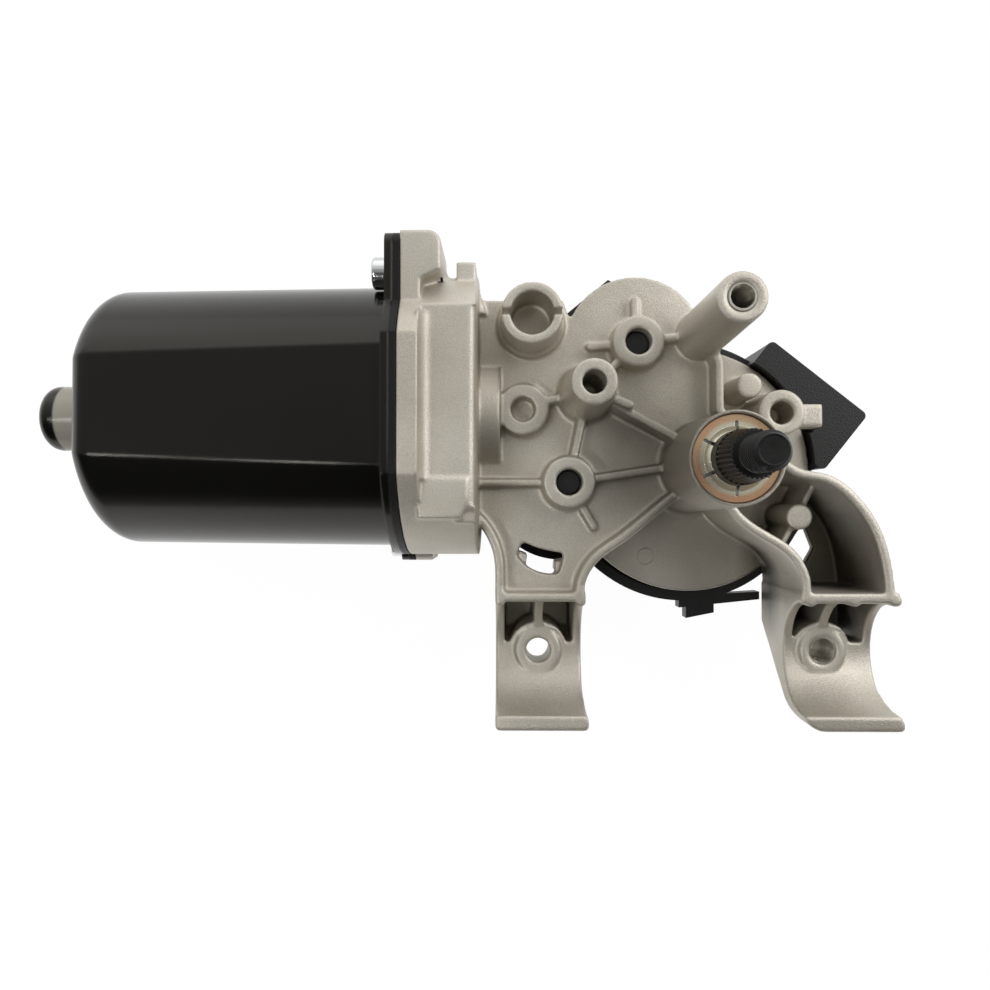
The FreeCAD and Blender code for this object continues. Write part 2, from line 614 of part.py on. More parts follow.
def make_rear_bush():
    """The sintered bush in the case's cup."""
    return tube(REAR_CUP_R - YOKE_WALL - SEAT_GAP, ARM_SHAFT_R + RUN_GAP, REAR_BUSH_L,
                (REAR_BUSH_X0, ARM_Y, ARM_Z), X_DIR)


def make_tip_bush():
    """The bush at the worm's end."""
    return tube(TIP_BUSH_R, ARM_SHAFT_R + RUN_GAP, TIP_BUSH_L, (TIP_X, ARM_Y, ARM_Z), X_DIR)


def make_thrust_pad():
    """The pad that takes the worm's end thrust."""
    return armature_rod(3.0, TIP_X + TIP_BUSH_L, TIP_X + TIP_BUSH_L + TIP_PAD_T)


def make_bearing_inner_race():
    """The ball bearing's inner ring, tight on the shaft."""
    return tube(6.2, ARM_SHAFT_R + SEAT_GAP, BEARING_W, (BEARING_X, ARM_Y, ARM_Z), X_DIR)


def make_bearing_outer_race():
    """The ball bearing's outer ring and its caged balls."""
    ring = tube(BEARING_R - SEAT_GAP, 8.6, BEARING_W, (BEARING_X, ARM_Y, ARM_Z), X_DIR)
    balls = []
    for angle in spread(8):
        ball = Part.makeSphere(1.6, V(BEARING_X + BEARING_W / 2, ARM_Y + 7.85, ARM_Z))
        balls.append(turned(ball, angle))
    return ring.multiFuse(balls)


def brush_angles():
    """Where the three brushes stand round the commutator."""
    return (0.0, 125.0, 235.0)


def make_brush_card():
    """The moulded ring that carries the brush boxes."""
    x0 = BRUSH_CARD_X
    plate = can_shape(BARREL_BORE_R - 0.3, BARREL_BORE_FLAT - 0.3, x0, x0 + 2.5)
    plate = plate.cut(armature_rod(COMM_R + 4.5, x0, x0 + 2.5))
    box = block(COMM_X0 + 4, x0, ARM_Y + COMM_R + 1.2, ARM_Y + 24, ARM_Z - 4.2, ARM_Z + 4.2)
    way = block(COMM_X0 + 5.2, x0 - 1.2, ARM_Y + COMM_R, ARM_Y + 25, ARM_Z - 3.0, ARM_Z + 3.0)
    boxes = [turned(box.cut(way), angle) for angle in brush_angles()]
    return plate.multiFuse(boxes)


def make_brushes():
    """Three carbon brushes that bear on the commutator."""
    x0 = COMM_X0 + 5.2 + 0.05
    x1 = BRUSH_CARD_X - 1.2 - 0.05
    brush = block(x0, x1, ARM_Y + COMM_R - 1, ARM_Y + COMM_R + 8, ARM_Z - 2.95, ARM_Z + 2.95)
    brush = brush.cut(armature_rod(COMM_R + RUN_GAP, x0, x1))
    return Part.makeCompound([turned(brush, angle) for angle in brush_angles()])


def make_counter_wheel(centre, tooth_angle, twist_sign):
    """A helical wheel driven by the worm."""
    twist = twist_sign * WHEEL_WIDTH / WORM_PITCH_R / WHEEL_R
    gear = helical_gear(WORM_MODULE, WHEEL_TEETH, WHEEL_WIDTH, WORM_GAP, math.radians(tooth_angle), twist,
                        centre, ARM_Z - WHEEL_WIDTH / 2)
    sleeve = upright(SLEEVE_R + SEAT_GAP, ARM_Z - WHEEL_WIDTH, ARM_Z + WHEEL_WIDTH, centre)
    groove = upright(WHEEL_R - 2.6, ARM_Z + WHEEL_WIDTH / 2 - 1.5, ARM_Z + WHEEL_WIDTH, centre)
    groove = groove.cut(upright(SLEEVE_R + 2.0, ARM_Z + WHEEL_WIDTH / 2 - 1.5, ARM_Z + WHEEL_WIDTH, centre))
    return gear.cut([sleeve, groove])


def make_counter_pinion(centre, phase):
    """A steel pinion on a sleeve that the wheel is pressed on."""
    teeth = spur_gear(FINAL_MODULE, PINION_TEETH, FINAL_WIDTH + 0.6, BACKLASH, phase, centre, FINAL_Z0 - 0.3)
    sleeve = upright(SLEEVE_R, FINAL_Z0 + 1, ARM_Z + WHEEL_WIDTH / 2 + 1.5, centre)
    bore = upright(PIN_R + RUN_GAP, FINAL_Z0 - 2, ARM_Z + WHEEL_WIDTH, centre)
    return teeth.fuse(sleeve).cut(bore)


def make_counter_pin(centre):
    """The fixed steel pin that a counter gear turns on, seen as a dark disc in its boss."""
    return upright(PIN_R, FINAL_Z0 - 0.6, IDLER_BOSS_Z - 3.5, centre)


def mesh_angle(centre):
    """The direction from the output shaft to a counter gear."""
    return math.atan2(centre[1], centre[0])


def pinion_phase(centre):
    """The pinion angle that puts a gap where the final gear has a tooth."""
    step = 2 * math.pi / FINAL_TEETH
    lead = (mesh_angle(centre) - mesh_angle(UPPER)) % step
    ratio = FINAL_TEETH / PINION_TEETH
    return mesh_angle(centre) + math.pi + lead * ratio + math.pi / PINION_TEETH


def make_final_gear():
    """The moulded output gear, with a ring of pockets between hub and rim."""
    gear = spur_gear(FINAL_MODULE, FINAL_TEETH, FINAL_WIDTH, BACKLASH, mesh_angle(UPPER), (0, 0), FINAL_Z0)
    bore = upright(SHAFT_R + SEAT_GAP, FINAL_Z0 - 1, FINAL_Z0 + FINAL_WIDTH + 1, (0, 0))
    ring = tube(25.5, 11.0, 1.8, (0, 0, FINAL_Z0 + FINAL_WIDTH - 1.8))
    spokes = [rib((11 * math.cos(a), 11 * math.sin(a)), (26 * math.cos(a), 26 * math.sin(a)), 2.0,
                  FINAL_Z0, FINAL_Z0 + FINAL_WIDTH) for a in map(math.radians, spread(8))]
    return gear.cut([bore, ring.cut(spokes)])


def make_park_ring():
    """The copper ring on the final gear that the park contacts wipe."""
    ring = tube(24.0, 13.0, PARK_RING_T, (0, 0, FINAL_Z0 - PARK_RING_T))
    return ring.cut(slab([(0, 0), (30, -7), (30, 7)], FINAL_Z0 - 1, FINAL_Z0))


def spline_wire(radius, depth, count, z):
    """A ring of pointed teeth."""
    points = []
    for step in range(2 * count):
        reach = radius if step % 2 else radius - depth
        angle = math.pi * step / count
        points.append(V(reach * math.cos(angle), reach * math.sin(angle), z))
    return Part.makePolygon(points + points[:1])


def make_output_shaft():
    """The output shaft with its tapered spline and threaded end."""
    stem = upright(SHAFT_R, FINAL_Z0, -SPLINE_L, (0, 0))
    teeth = Part.makeLoft([spline_wire(SHAFT_R, 0.45, SPLINE_TEETH, -SPLINE_L),
                           spline_wire(SPLINE_TOP_R, 0.4, SPLINE_TEETH, 0)], True, True)
    thread = upright(THREAD_R, -0.5, THREAD_L - 1.0, (0, 0))
    nose = tapered(THREAD_R, THREAD_NOSE_R, THREAD_L - 1.0, THREAD_L, (0, 0))
    return stem.multiFuse([teeth, thread, nose])


def make_star_washer():
    """The push-on lock washer, a ring with bent tongues between slits."""
    z0 = NECK_Z - WASHER_SEAT_DEPTH + THRUST_T
    inner = SHAFT_R + SEAT_GAP
    profile = [V(inner, 0, z0 + 1.3), V(inner, 0, z0 + 2.1), V(7.2, 0, z0 + WASHER_T), V(WASHER_R, 0, z0 + WASHER_T),
               V(WASHER_R, 0, z0), V(7.0, 0, z0), V(inner, 0, z0 + 1.3)]
    ring = Part.Face(Part.makePolygon(profile)).revolve(V(0, 0, 0), Z_DIR, 360)
    slits = []
    for angle in map(math.radians, spread(6, 30.0)):
        reach = (7.9 * math.cos(angle), 7.9 * math.sin(angle))
        slits.append(rib((0, 0), reach, 0.8, z0 - 1, z0 + 3))
    return ring.cut(slits)


def make_thrust_washer():
    """The flat washer on the floor of the neck's recess."""
    return tube(WASHER_R - 0.1, SHAFT_R + RUN_GAP, THRUST_T, (0, 0, NECK_Z - WASHER_SEAT_DEPTH))


def make_gear_washer():
    """The thin washer between the final gear and the casting."""
    return tube(9.0, SHAFT_R + RUN_GAP, GEAR_GAP - 0.1, (0, 0, BOWL_ROOF_Z - GEAR_GAP + 0.05))


def make_shaft_bush(z0):
    """One of two sintered bushes in the neck."""
    return tube(SHAFT_R + BUSH_WALL, SHAFT_R + RUN_GAP, BUSH_L, (0, 0, z0))


def tunnel_block(grow, z0, z1):
    """The straight part of the case over the worm."""
    half = TUNNEL_HALF + grow
    return block(BARREL_X1, TUNNEL_X1 + grow, ARM_Y - half, ARM_Y + half, z0, z1)


def back_body(grow, z0, z1):
    """The gear case's outline from behind, grown all round by a distance."""
    tunnel = tunnel_block(grow, z0, z1)
    rounds = [upright(BOWL_R + grow, z0, z1, (0, 0)), upright(LOBE_R + grow, z0, z1, UPPER),
              upright(LOBE_R + grow, z0, z1, LOWER)]
    bosses = [upright(3.6 + grow, z0, z1, place) for place in COVER_SCREWS]
    ties = [rib(COVER_SCREWS[0], (-40.0, 16.0), 7.2 + 2 * grow, z0, z1),
            rib(COVER_SCREWS[1], (-6.0, 30.0), 7.2 + 2 * grow, z0, z1),
            rib(COVER_SCREWS[2], (-40.0, -8.0), 7.2 + 2 * grow, z0, z1)]
    return joined([tunnel] + rounds + bosses + ties)


def gear_cavity(trim):
    """The room for the gears and the worm inside the casting."""
    wheel_r = WHEEL_TIP_R + GEAR_GAP
    roof = WEB_Z - CAST_WALL
    pieces = [upright(FINAL_TIP_R + GEAR_GAP, COVER_Z - trim, BOWL_ROOF_Z, (0, 0)),
              upright(wheel_r, COVER_Z - trim, roof, UPPER), upright(wheel_r, COVER_Z - trim, roof, LOWER),
              armature_rod(WORM_TIP_R + 0.6, BEARING_X, TIP_X)]
    return pieces


def foot_profile(x0, x1):
    """A foot's side outline, pulled along its width."""
    lip = (FOOT_TIP_Y, RIM_Z)
    arc = Part.Arc(V(x0, FOOT_Y - SADDLE_R, RIM_Z), V(x0, FOOT_Y, RIM_Z - SADDLE_R), V(x0, FOOT_Y + SADDLE_R, RIM_Z))
    outline = [V(x0, FOOT_Y + SADDLE_R, RIM_Z), V(x0, CROSS_Y, RIM_Z), V(x0, CROSS_Y, LEG_Z),
               V(x0, FOOT_BACK_Y, LEG_Z), V(x0, FOOT_BACK_LOW[0], ARM_Z + FOOT_BACK_LOW[1]),
               V(x0, FOOT_TIP_Y, ARM_Z + 7.0), V(x0, lip[0], lip[1]), V(x0, FOOT_Y - SADDLE_R, RIM_Z)]
    edges = [arc.toShape()] + [Part.makeLine(a, b) for a, b in zip(outline, outline[1:])]
    return Part.Face(Part.Wire(edges)).extrude(V(x1 - x0, 0, 0))


def foot_plan(limits, flare, tip_r):
    """A foot's outline from the front, wider at its lip and rounded at the lip's left end."""
    x0, x1 = limits
    wide = x1 + flare
    plan = slab([(x0, CROSS_Y), (x0, FOOT_TIP_Y), (wide, FOOT_TIP_Y), (wide, FOOT_TIP_Y + 1.8),
                 (x1 + flare / 3, FOOT_TIP_Y + 4.6), (x1, FOOT_TIP_Y + 8.0), (x1, CROSS_Y)], LEG_Z, RIM_Z)
    plan = plan.makeFillet(tip_r, upright_edges(plan, x0, FOOT_TIP_Y))
    return plan.makeFillet(FOOT_CORNER_R, upright_edges(plan, wide, FOOT_TIP_Y))


def make_foot(limits, hole, flare, tip_r):
    """A saddle foot with its drilled boss and two front pockets."""
    x0, x1 = limits
    centre = (hole[0], FOOT_Y)
    pad_z = ARM_Z + PAD_RISE
    foot = foot_profile(x0, x1 + flare).common(foot_plan(limits, flare, tip_r))
    pocket = block(x0 + RIM_T, x1 - RIM_T, POCKET_FOOT_Y, FOOT_Y + SADDLE_R, LEG_Z + 3.0, RIM_Z + 1)
    keep = upright(FOOT_BOSS_R + 1.6, LEG_Z, pad_z, centre)
    web = rib(centre, (hole[0], CROSS_Y), RIM_T, LEG_Z, RIM_Z - 3.0)
    foot = foot.cut(pocket.cut([keep, web]))
    pad = upright(FOOT_BOSS_R, ARM_Z - 6, pad_z, centre)
    return foot.fuse(pad).cut(upright(hole[1], LEG_Z - 1, RIM_Z, centre))


def boss(spec):
    """A round boss with draft on the front of the casting."""
    x, y, base_z, top_z, base_r, top_r = spec
    return tapered(base_r, top_r, base_z, top_z, (x, y))


def housing_web():
    """The flat front of the casting with its window."""
    floor_z = WEB_Z - WEB_T
    hooks = [slab(points, floor_z - HOOK_DROP, floor_z + 1) for points in WINDOW_HOOKS]
    return [slab(WEB_OUTLINE, floor_z, WEB_Z).cut(window_shape(floor_z - 1, WEB_Z + 1))] + hooks


def housing_rims():
    """The tall curved rims that run from the web down to the left foot, and the low wall at the neck."""
    floor_z = WEB_Z - WEB_T
    sunk_z = BOWL_Z - SUNK
    return [stepped_wall(LEFT_RIM, LEG_Z, floor_z, LEFT_RAISED), stepped_wall(RIGHT_RIM, LEG_Z, sunk_z, RIGHT_RAISED),
            chain(SIDE_WALL, RIB_T, sunk_z, ARM_Z + SIDE_WALL_RISE)]


def housing_arm():
    """The channelled arm that carries the right foot."""
    sunk_z = BOWL_Z - SUNK
    x0, x1 = CROSS_X
    post_rib_z = ARM_Z + ARM_POST_RISE - 2.0
    arm = [stepped_wall(ARM_INNER, LEG_Z, sunk_z, ARM_INNER_RAISED),
           stepped_wall(ARM_OUTER, LEG_Z, sunk_z, ARM_OUTER_RAISED),
           slab(ARM_FLOOR, LEG_Z, LEG_Z + ARM_FLOOR_T).cut(slab(ARM_WINDOW, LEG_Z - 1, LEG_Z + ARM_FLOOR_T + 1)),
           upright(ARM_POST_R, LEG_Z, ARM_Z + ARM_POST_RISE, ARM_POST),
           block(x0, x1, CROSS_Y - CROSS_T, CROSS_Y, LEG_Z, RIM_Z)]
    arm += [rib(ARM_POST, end, ARM_POST_RIB_T, LEG_Z, post_rib_z) for end in ARM_POST_RIBS]
    arm += [upright(KNOB_R, LEG_Z, RIM_Z, (x, CROSS_Y - CROSS_T + KNOB_R / 2)) for x in KNOB_X]
    return arm


def housing_motor_end():
    """The flatted barrel that takes the motor, with its flange, ears and lugs."""
    flat_z = ARM_Z + BARREL_FLAT
    ear_z0 = ARM_Z + SCREW_OFFSET_Z - EAR_HALF
    ear_z1 = ARM_Z + SCREW_OFFSET_Z + EAR_HALF - 1
    (left, low), (right, high) = EAR_UNDERSIDE
    top = ARM_Y + EAR_RISE
    ear = slab([(FLANGE_X0, low), (left, low), (right, high), (right, top), (FLANGE_X0, top)], ear_z0, ear_z1)
    ear = ear.makeFillet(EAR_CORNER_R, upright_edges(ear, right, top))
    return [can_shape(BARREL_R, BARREL_FLAT, FLANGE_X0, BARREL_X1), armature_rod(NECK_R, BARREL_X1 - 1, NECK_X1),
            flange_plate(FLANGE_X0, FLANGE_X1), ear, slab(EAR_GUSSET, ARM_Z + 3.0, ARM_Z + 10.0),
            slab(UPPER_LUG, ARM_Z + 6.0, RIM_Z + 4.0), slab(UPPER_LUG_WEB, WEB_Z - WEB_T, ARM_Z + 9.0),
            slab(LOWER_LUG, ARM_Z + 10.0, flat_z - 1.0), slab(LOWER_LEDGE, ARM_Z + 10.0, flat_z + 0.6)]


def make_gear_housing():
    """The die-cast gear case with its motor flange, bosses, ribs, arm and two feet."""
    sunk_z = BOWL_Z - SUNK
    deep = back_body(0, COVER_Z, BOWL_Z)
    tall = joined([upright(LOBE_R, BOWL_Z, WEB_Z, UPPER), upright(LOBE_R, BOWL_Z, WEB_Z, LOWER),
                   tunnel_block(0, BOWL_Z, WEB_Z)])
    neck = tapered(SHAFT_NECK_R + 1.2, SHAFT_NECK_R, sunk_z, NECK_Z, (0, 0))
    bosses = [boss(spec) for spec in BOSSES] + [slab(SIDE_TAB, ARM_Z + SIDE_TAB_RISE - SIDE_TAB_T, ARM_Z + SIDE_TAB_RISE)]
    ribs = [rib(a, b, RIB_T, WEB_Z - 1, ARM_Z + top) for a, b, top in RIBS]
    feet = [make_foot(LEFT_FOOT_X, LEFT_HOLE, LEFT_FLARE, LEFT_TIP_R),
            make_foot(RIGHT_FOOT_X, RIGHT_HOLE, RIGHT_FLARE, RIGHT_TIP_R)]
    body = built_up([deep, tall, neck] + housing_web() + housing_motor_end() + bosses + ribs + housing_rims()
                    + housing_arm() + feet)
    holes = [upright(r, z0, z1, (x, y)) for x, y, r, z0, z1 in BOSS_HOLES]
    slot_y, slot_w, slot_depth = BOSS_SLOT
    slot_z = ARM_Z + WIDE_BOSS_RISE
    holes.append(block(BOSS_SLOT_X[0], BOSS_SLOT_X[1], slot_y - slot_w / 2, slot_y + slot_w / 2,
                       slot_z - slot_depth, slot_z + 1))
    shaft_bore = [upright(SHAFT_R + BUSH_WALL + SEAT_GAP, BOWL_ROOF_Z - 1, NECK_Z + 1, (0, 0)),
                  upright(WASHER_SEAT_R, NECK_Z - WASHER_SEAT_DEPTH, NECK_Z + 1, (0, 0))]
    motor = [can_shape(BARREL_BORE_R, BARREL_BORE_FLAT, FLANGE_X0 - 1, BARREL_BORE_X1),
             armature_rod(BEARING_R, BARREL_BORE_X1 - 1, BEARING_X + BEARING_W),
             armature_rod(TIP_BUSH_R + SEAT_GAP, TIP_X - 1, TIP_X + TIP_BUSH_L + TIP_PAD_T)]
    pins = [upright(PIN_R + SEAT_GAP, WEB_Z - 4, WEB_Z + 1, centre) for centre in (UPPER, LOWER)]
    threads = screw_bores(SCREW_R + SEAT_GAP, FLANGE_X0 - 1, FLANGE_X0 + SCREW_REACH + 0.4)
    screws = [upright(COVER_SCREW_R + SEAT_GAP, COVER_Z - 1, COVER_Z + 7, place) for place in COVER_SCREWS]
    return cut_away(body, gear_cavity(1) + holes + shaft_bore + motor + pins + threads + screws).removeSplitter()


def make_cover_gasket():
    """The thin gasket between the casting and the cover."""
    ring = back_body(0, COVER_Z - GASKET_T, COVER_Z).cut(back_body(-1.6, COVER_Z - GASKET_T, COVER_Z))
    return ring


def make_back_cover():
    """The moulded cover with a skirt round the casting."""
    top = COVER_Z - GASKET_T
    limit = block(BARREL_X1 + 0.5, 60, -60, 70, top - COVER_T - 10, COVER_Z + COVER_SKIRT_RISE)
    plate = back_body(COVER_REACH, top - COVER_T, COVER_Z + COVER_SKIRT_RISE)
    plate = plate.fuse(slab(COVER_CORNER, top - COVER_T, COVER_Z + COVER_SKIRT_RISE))
    plate = plate.fuse([slab(points, top - COVER_T, COVER_Z + COVER_SKIRT_RISE) for points in COVER_LATCH])
    room = back_body(0.5, top, COVER_Z + COVER_SKIRT_RISE)
    holes = [upright(COVER_SCREW_R + 0.2, top - COVER_T - 1, top + 1, place) for place in COVER_SCREWS]
    return plate.common(limit).cut([room] + holes)


def connector_piece(along, width, inward, depth, z0, z1):
    """A block placed by its distance along the connector's outer face and its depth behind it."""
    piece = Part.makeBox(width, depth, z1 - z0, V(along, -inward - depth, z0))
    piece.rotate(V(0, 0, 0), Z_DIR, CONNECTOR_ANGLE)
    piece.translate(V(CONNECTOR_CORNER[0], CONNECTOR_CORNER[1], 0))
    return piece


def connector_levels():
    """The connector's mouth and foot, just behind the cover."""
    mouth_top = COVER_Z - GASKET_T - COVER_T - 0.4
    return mouth_top, mouth_top - MOUTH_H - CONNECTOR_WALL


def make_connector_block():
    """The connector shell beside and behind the cover, with its mouth in the outer face."""
    mouth_top, foot = connector_levels()
    cover_back = COVER_Z - GASKET_T - COVER_T
    top = ARM_Z - CONNECTOR_TOP_DROP
    block_body = connector_piece(0, CONNECTOR_L, 0, CONNECTOR_W, foot, top)
    corners = [e for e in block_body.Edges if abs(e.Length - (top - foot)) < 0.01]
    block_body = block_body.makeFillet(1.5, corners)
    side = (CONNECTOR_L - MOUTH_W) / 2
    mouth = connector_piece(side, MOUTH_W, -1, MOUTH_DEPTH + 1, mouth_top - MOUTH_H, mouth_top)
    recess = connector_piece(3.0, CONNECTOR_L - 12, CONNECTOR_W - 8.6, 2.6, top - 6, top + 1)
    skirt = back_body(COVER_REACH + SEAT_GAP, cover_back, COVER_Z + COVER_SKIRT_RISE + 0.3)
    casting = back_body(0.6, cover_back, top + 1)
    return cut_away(block_body, [mouth, recess, skirt, casting])


def make_connector_blades():
    """The row of contact blades in the connector's mouth."""
    mouth_top, _ = connector_levels()
    middle = mouth_top - MOUTH_H / 2
    pitch = MOUTH_W / BLADE_COUNT
    blades = []
    for step in range(BLADE_COUNT):
        along = (CONNECTOR_L - MOUTH_W) / 2 + pitch * (step + 0.5) - BLADE_W / 2
        blades.append(connector_piece(along, BLADE_W, MOUTH_DEPTH - BLADE_L, BLADE_L,
                                      middle - BLADE_T / 2, middle + BLADE_T / 2))
    return Part.makeCompound(blades)


def make_park_board():
    """The insulating board that carries the park contacts."""
    z0 = COVER_Z - GASKET_T
    return slab([(-26, -9), (12, -26), (19, -16), (-22, 3)], z0, z0 + 0.7)


def make_park_contacts():
    """Three sprung strips that wipe the park ring."""
    z0 = COVER_Z - GASKET_T + 0.7
    strips = [rib((-20 + 2 * n, -5 - 3.2 * n), (4 + 4 * n, -14 - 1.2 * n), 1.8, z0, z0 + 0.4) for n in range(3)]
    return Part.makeCompound(strips)


def make_cover_screws():
    """Three small screws that hold the cover."""
    seat = COVER_Z - GASKET_T - COVER_T
    solids = []
    for x, y in COVER_SCREWS:
        head = rod(COVER_SCREW_R * 1.9, 1.8, (x, y, seat - 1.8))
        rim = [e for e in head.Edges if e.Closed and abs(e.CenterOfMass.z - seat + 1.8) < 0.01]
        head = head.makeFillet(0.6, rim)
        solids.append(head.fuse(rod(COVER_SCREW_R, 8.5, (x, y, seat))).removeSplitter())
    return Part.makeCompound(solids)


parts = {}


def build_all():
    """Every piece by name."""
    parts["gear_housing"] = make_gear_housing()
    parts["motor_yoke"] = make_motor_yoke()
    parts["yoke_seal"] = make_yoke_seal()
    parts["yoke_screws"] = make_yoke_screws()
    parts["magnet_upper"] = make_magnet(1)
    parts["magnet_lower"] = make_magnet(-1)
    parts["rear_bush"] = make_rear_bush()
    parts["tip_bush"] = make_tip_bush()
    parts["thrust_pad"] = make_thrust_pad()
    parts["bearing_outer_race"] = make_bearing_outer_race()
    parts["bearing_inner_race"] = make_bearing_inner_race()
    parts["brush_card"] = make_brush_card()
    parts["carbon_brushes"] = make_brushes()
    parts["armature_shaft"] = make_armature_shaft()
    parts["armature_core"] = make_armature_core()
    parts["armature_windings"] = make_armature_windings()
    parts["commutator"] = make_commutator()
    parts["counter_wheel_upper"] = make_counter_wheel(UPPER, -90.0, 1)
    parts["counter_wheel_lower"] = make_counter_wheel(LOWER, 90.0, -1)
    parts["counter_pinion_upper"] = make_counter_pinion(UPPER, pinion_phase(UPPER))
    parts["counter_pinion_lower"] = make_counter_pinion(LOWER, pinion_phase(LOWER))
    parts["counter_pin_upper"] = make_counter_pin(UPPER)
    parts["counter_pin_lower"] = make_counter_pin(LOWER)
    parts["final_gear"] = make_final_gear()
    parts["park_ring"] = make_park_ring()
    parts["output_shaft"] = make_output_shaft()
    parts["star_washer"] = make_star_washer()
    parts["thrust_washer"] = make_thrust_washer()
    parts["gear_washer"] = make_gear_washer()
    parts["shaft_bush_inner"] = make_shaft_bush(BOWL_ROOF_Z)
    parts["shaft_bush_outer"] = make_shaft_bush(NECK_Z - WASHER_SEAT_DEPTH - BUSH_L)
    parts["cover_gasket"] = make_cover_gasket()
    parts["back_cover"] = make_back_cover()
    parts["cover_screws"] = make_cover_screws()
    parts["connector_block"] = make_connector_block()
    parts["connector_blades"] = make_connector_blades()
    parts["park_board"] = make_park_board()
    parts["park_contacts"] = make_park_contacts()


if __name__ == "__main__":
    os.makedirs("parts", exist_ok=True)
    build_all()
    for name, shape in parts.items():
        print(name, shape.ShapeType, len(shape.Solids), shape.isValid(), round(shape.Volume, 1))
        shape.exportStep("parts/" + name + ".step")
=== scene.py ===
"""Finishes, fine detail and studio for a windscreen wiper motor.

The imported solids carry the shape. This script rebuilds the casting with foundry radii, turns the
output shaft's spline and thread in full, gives each piece its finish, and sets up the floor, the
lamps and the camera.
"""
import math

import bmesh
import bpy
from mathutils import Matrix, Vector


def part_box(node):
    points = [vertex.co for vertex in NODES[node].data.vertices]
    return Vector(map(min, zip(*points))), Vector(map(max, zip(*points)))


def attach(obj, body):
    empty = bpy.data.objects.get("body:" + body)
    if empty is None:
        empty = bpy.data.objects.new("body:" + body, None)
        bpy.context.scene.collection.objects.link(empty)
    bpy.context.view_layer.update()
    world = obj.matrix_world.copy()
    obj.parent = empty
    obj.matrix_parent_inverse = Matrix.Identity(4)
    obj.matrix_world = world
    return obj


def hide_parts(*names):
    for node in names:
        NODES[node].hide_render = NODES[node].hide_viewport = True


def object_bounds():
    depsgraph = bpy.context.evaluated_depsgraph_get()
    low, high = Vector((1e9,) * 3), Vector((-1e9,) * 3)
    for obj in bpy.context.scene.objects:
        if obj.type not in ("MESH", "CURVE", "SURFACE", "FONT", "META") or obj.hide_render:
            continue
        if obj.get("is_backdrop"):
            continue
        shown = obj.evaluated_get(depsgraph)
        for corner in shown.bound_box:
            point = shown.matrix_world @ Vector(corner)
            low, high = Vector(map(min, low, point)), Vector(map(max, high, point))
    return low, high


bl_info = {
    "name": "Wiper motor finishes",
    "version": (1, 0, 0),
    "blender": (4, 5, 0),
    "location": "View3D > Sidebar > Wiper motor",
    "description": "Cast, painted, plated and moulded finishes for a wiper motor",
    "category": "Object",
}

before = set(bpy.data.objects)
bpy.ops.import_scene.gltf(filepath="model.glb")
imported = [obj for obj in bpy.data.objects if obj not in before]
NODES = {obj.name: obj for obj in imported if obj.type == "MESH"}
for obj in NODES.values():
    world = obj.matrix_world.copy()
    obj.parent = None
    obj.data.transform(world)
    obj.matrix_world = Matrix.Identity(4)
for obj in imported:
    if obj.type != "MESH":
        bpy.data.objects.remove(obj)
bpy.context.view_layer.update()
MM = 0.001
TURN = 2 * math.pi
WHITE = (1.0, 1.0, 1.0, 1.0)

# Levels of the casting along Z and faces along X, in millimetres
WEB_Z = -42.0
BOWL_Z = -63.0
BARREL_FLAT_Z = -23.0
RIM_TOP_Z = -37.0
FLANGE_FACE_X = -70.5
BARREL_END_X = -57.5
# Boss feet that meet a face: X, Y, level and radius in millimetres, then the first and last angle in degrees
BOSS_FEET = [(-46.2, 13.9, WEB_Z, 6.55, 0, 360), (-30.2, 18.1, WEB_Z, 7.15, 0, 360),
             (20.8, 13.9, BOWL_Z, 6.25, 0, 360), (13.4, 21.4, BOWL_Z, 3.55, 0, 360),
             (0.0, 0.0, WEB_Z, 11.35, 118, 212), (0.0, 0.0, BOWL_Z, 11.85, 215, 335)]
# Radius of the bosses round the two counter pins, in millimetres
PIN_BOSS_R = 6.55
# Where the barrel's rounded edge and its fillet at the flange start and end along Y, in millimetres
BARREL_EDGE_Y = (-10.4, 36.4)
FLANGE_FILLET_Y = (-4.2, 34.5)
# Threaded holes: X, Y, top level, radius, thread depth and countersink in millimetres
THREADED_HOLES = {
    "tall_post_thread": (-1.4, 32.9, -4.0, 2.75, 20.0, 0.85),
    "right_foot_thread": (32.1, -48.0, -49.6, 3.4, 16.0, 0.5),
}
# Where a thread starts below the hole's top, and how thick its sleeve is behind the wall, in millimetres
THREAD_START = 0.3
SLEEVE_WALL = 0.2
# The parting notches across both rims of the left leg: X limits, Y, half width and depth in millimetres
RIM_NOTCHES = [(-54.2, -50.4), (-33.4, -30.0)]
NOTCH_Y = -29.9
NOTCH_HALF = 0.4
NOTCH_DEPTH = 0.55
# A round mark left by an ejector pin: X, Y, level and radius in millimetres, and the section of its rim as
# distances outward from that radius and up from that level
EJECTOR_MARK = (-11.7, -24.1, BOWL_Z, 2.4)
MARK_RIM = [(-0.35, -0.5), (0.0, -0.5), (0.0, 0.03), (-0.18, 0.09), (-0.35, 0.03)]
# The sloped floor at the front of the left foot's pockets: X limits, then corners of Y and Z in millimetres
POCKET_FLOOR_X = (-52.0, -32.2)
POCKET_FLOOR = [(-46.6, -61.5), (-46.6, -64.6), (-43.6, -68.6), (-43.2, -66.2)]
# How far cutters reach past the casting, and how far they stay off an axis and inside a hole, in millimetres
CUT_OVER = 1.0
AXIS_GAP = 0.01
HOLE_GAP = 0.02
# How deep fillets are sunk into the walls, and the distance under which corners are welded, in millimetres
FILLET_SUNK = 0.5
WELD = 0.001
# Fewer faces than this mean that the rebuilt casting is empty
LEAST_FACES = 10000

# Painted shade on the casting beside the shaft's neck and in the channel and pockets: X, Y, radius and
# softness in millimetres
NECK_SHADE = (-13, 1, 17, 7)
CHANNEL_SHADE = (47, -21, 16, 3)
POCKET_SHADE = (40, -26, 25, 4)
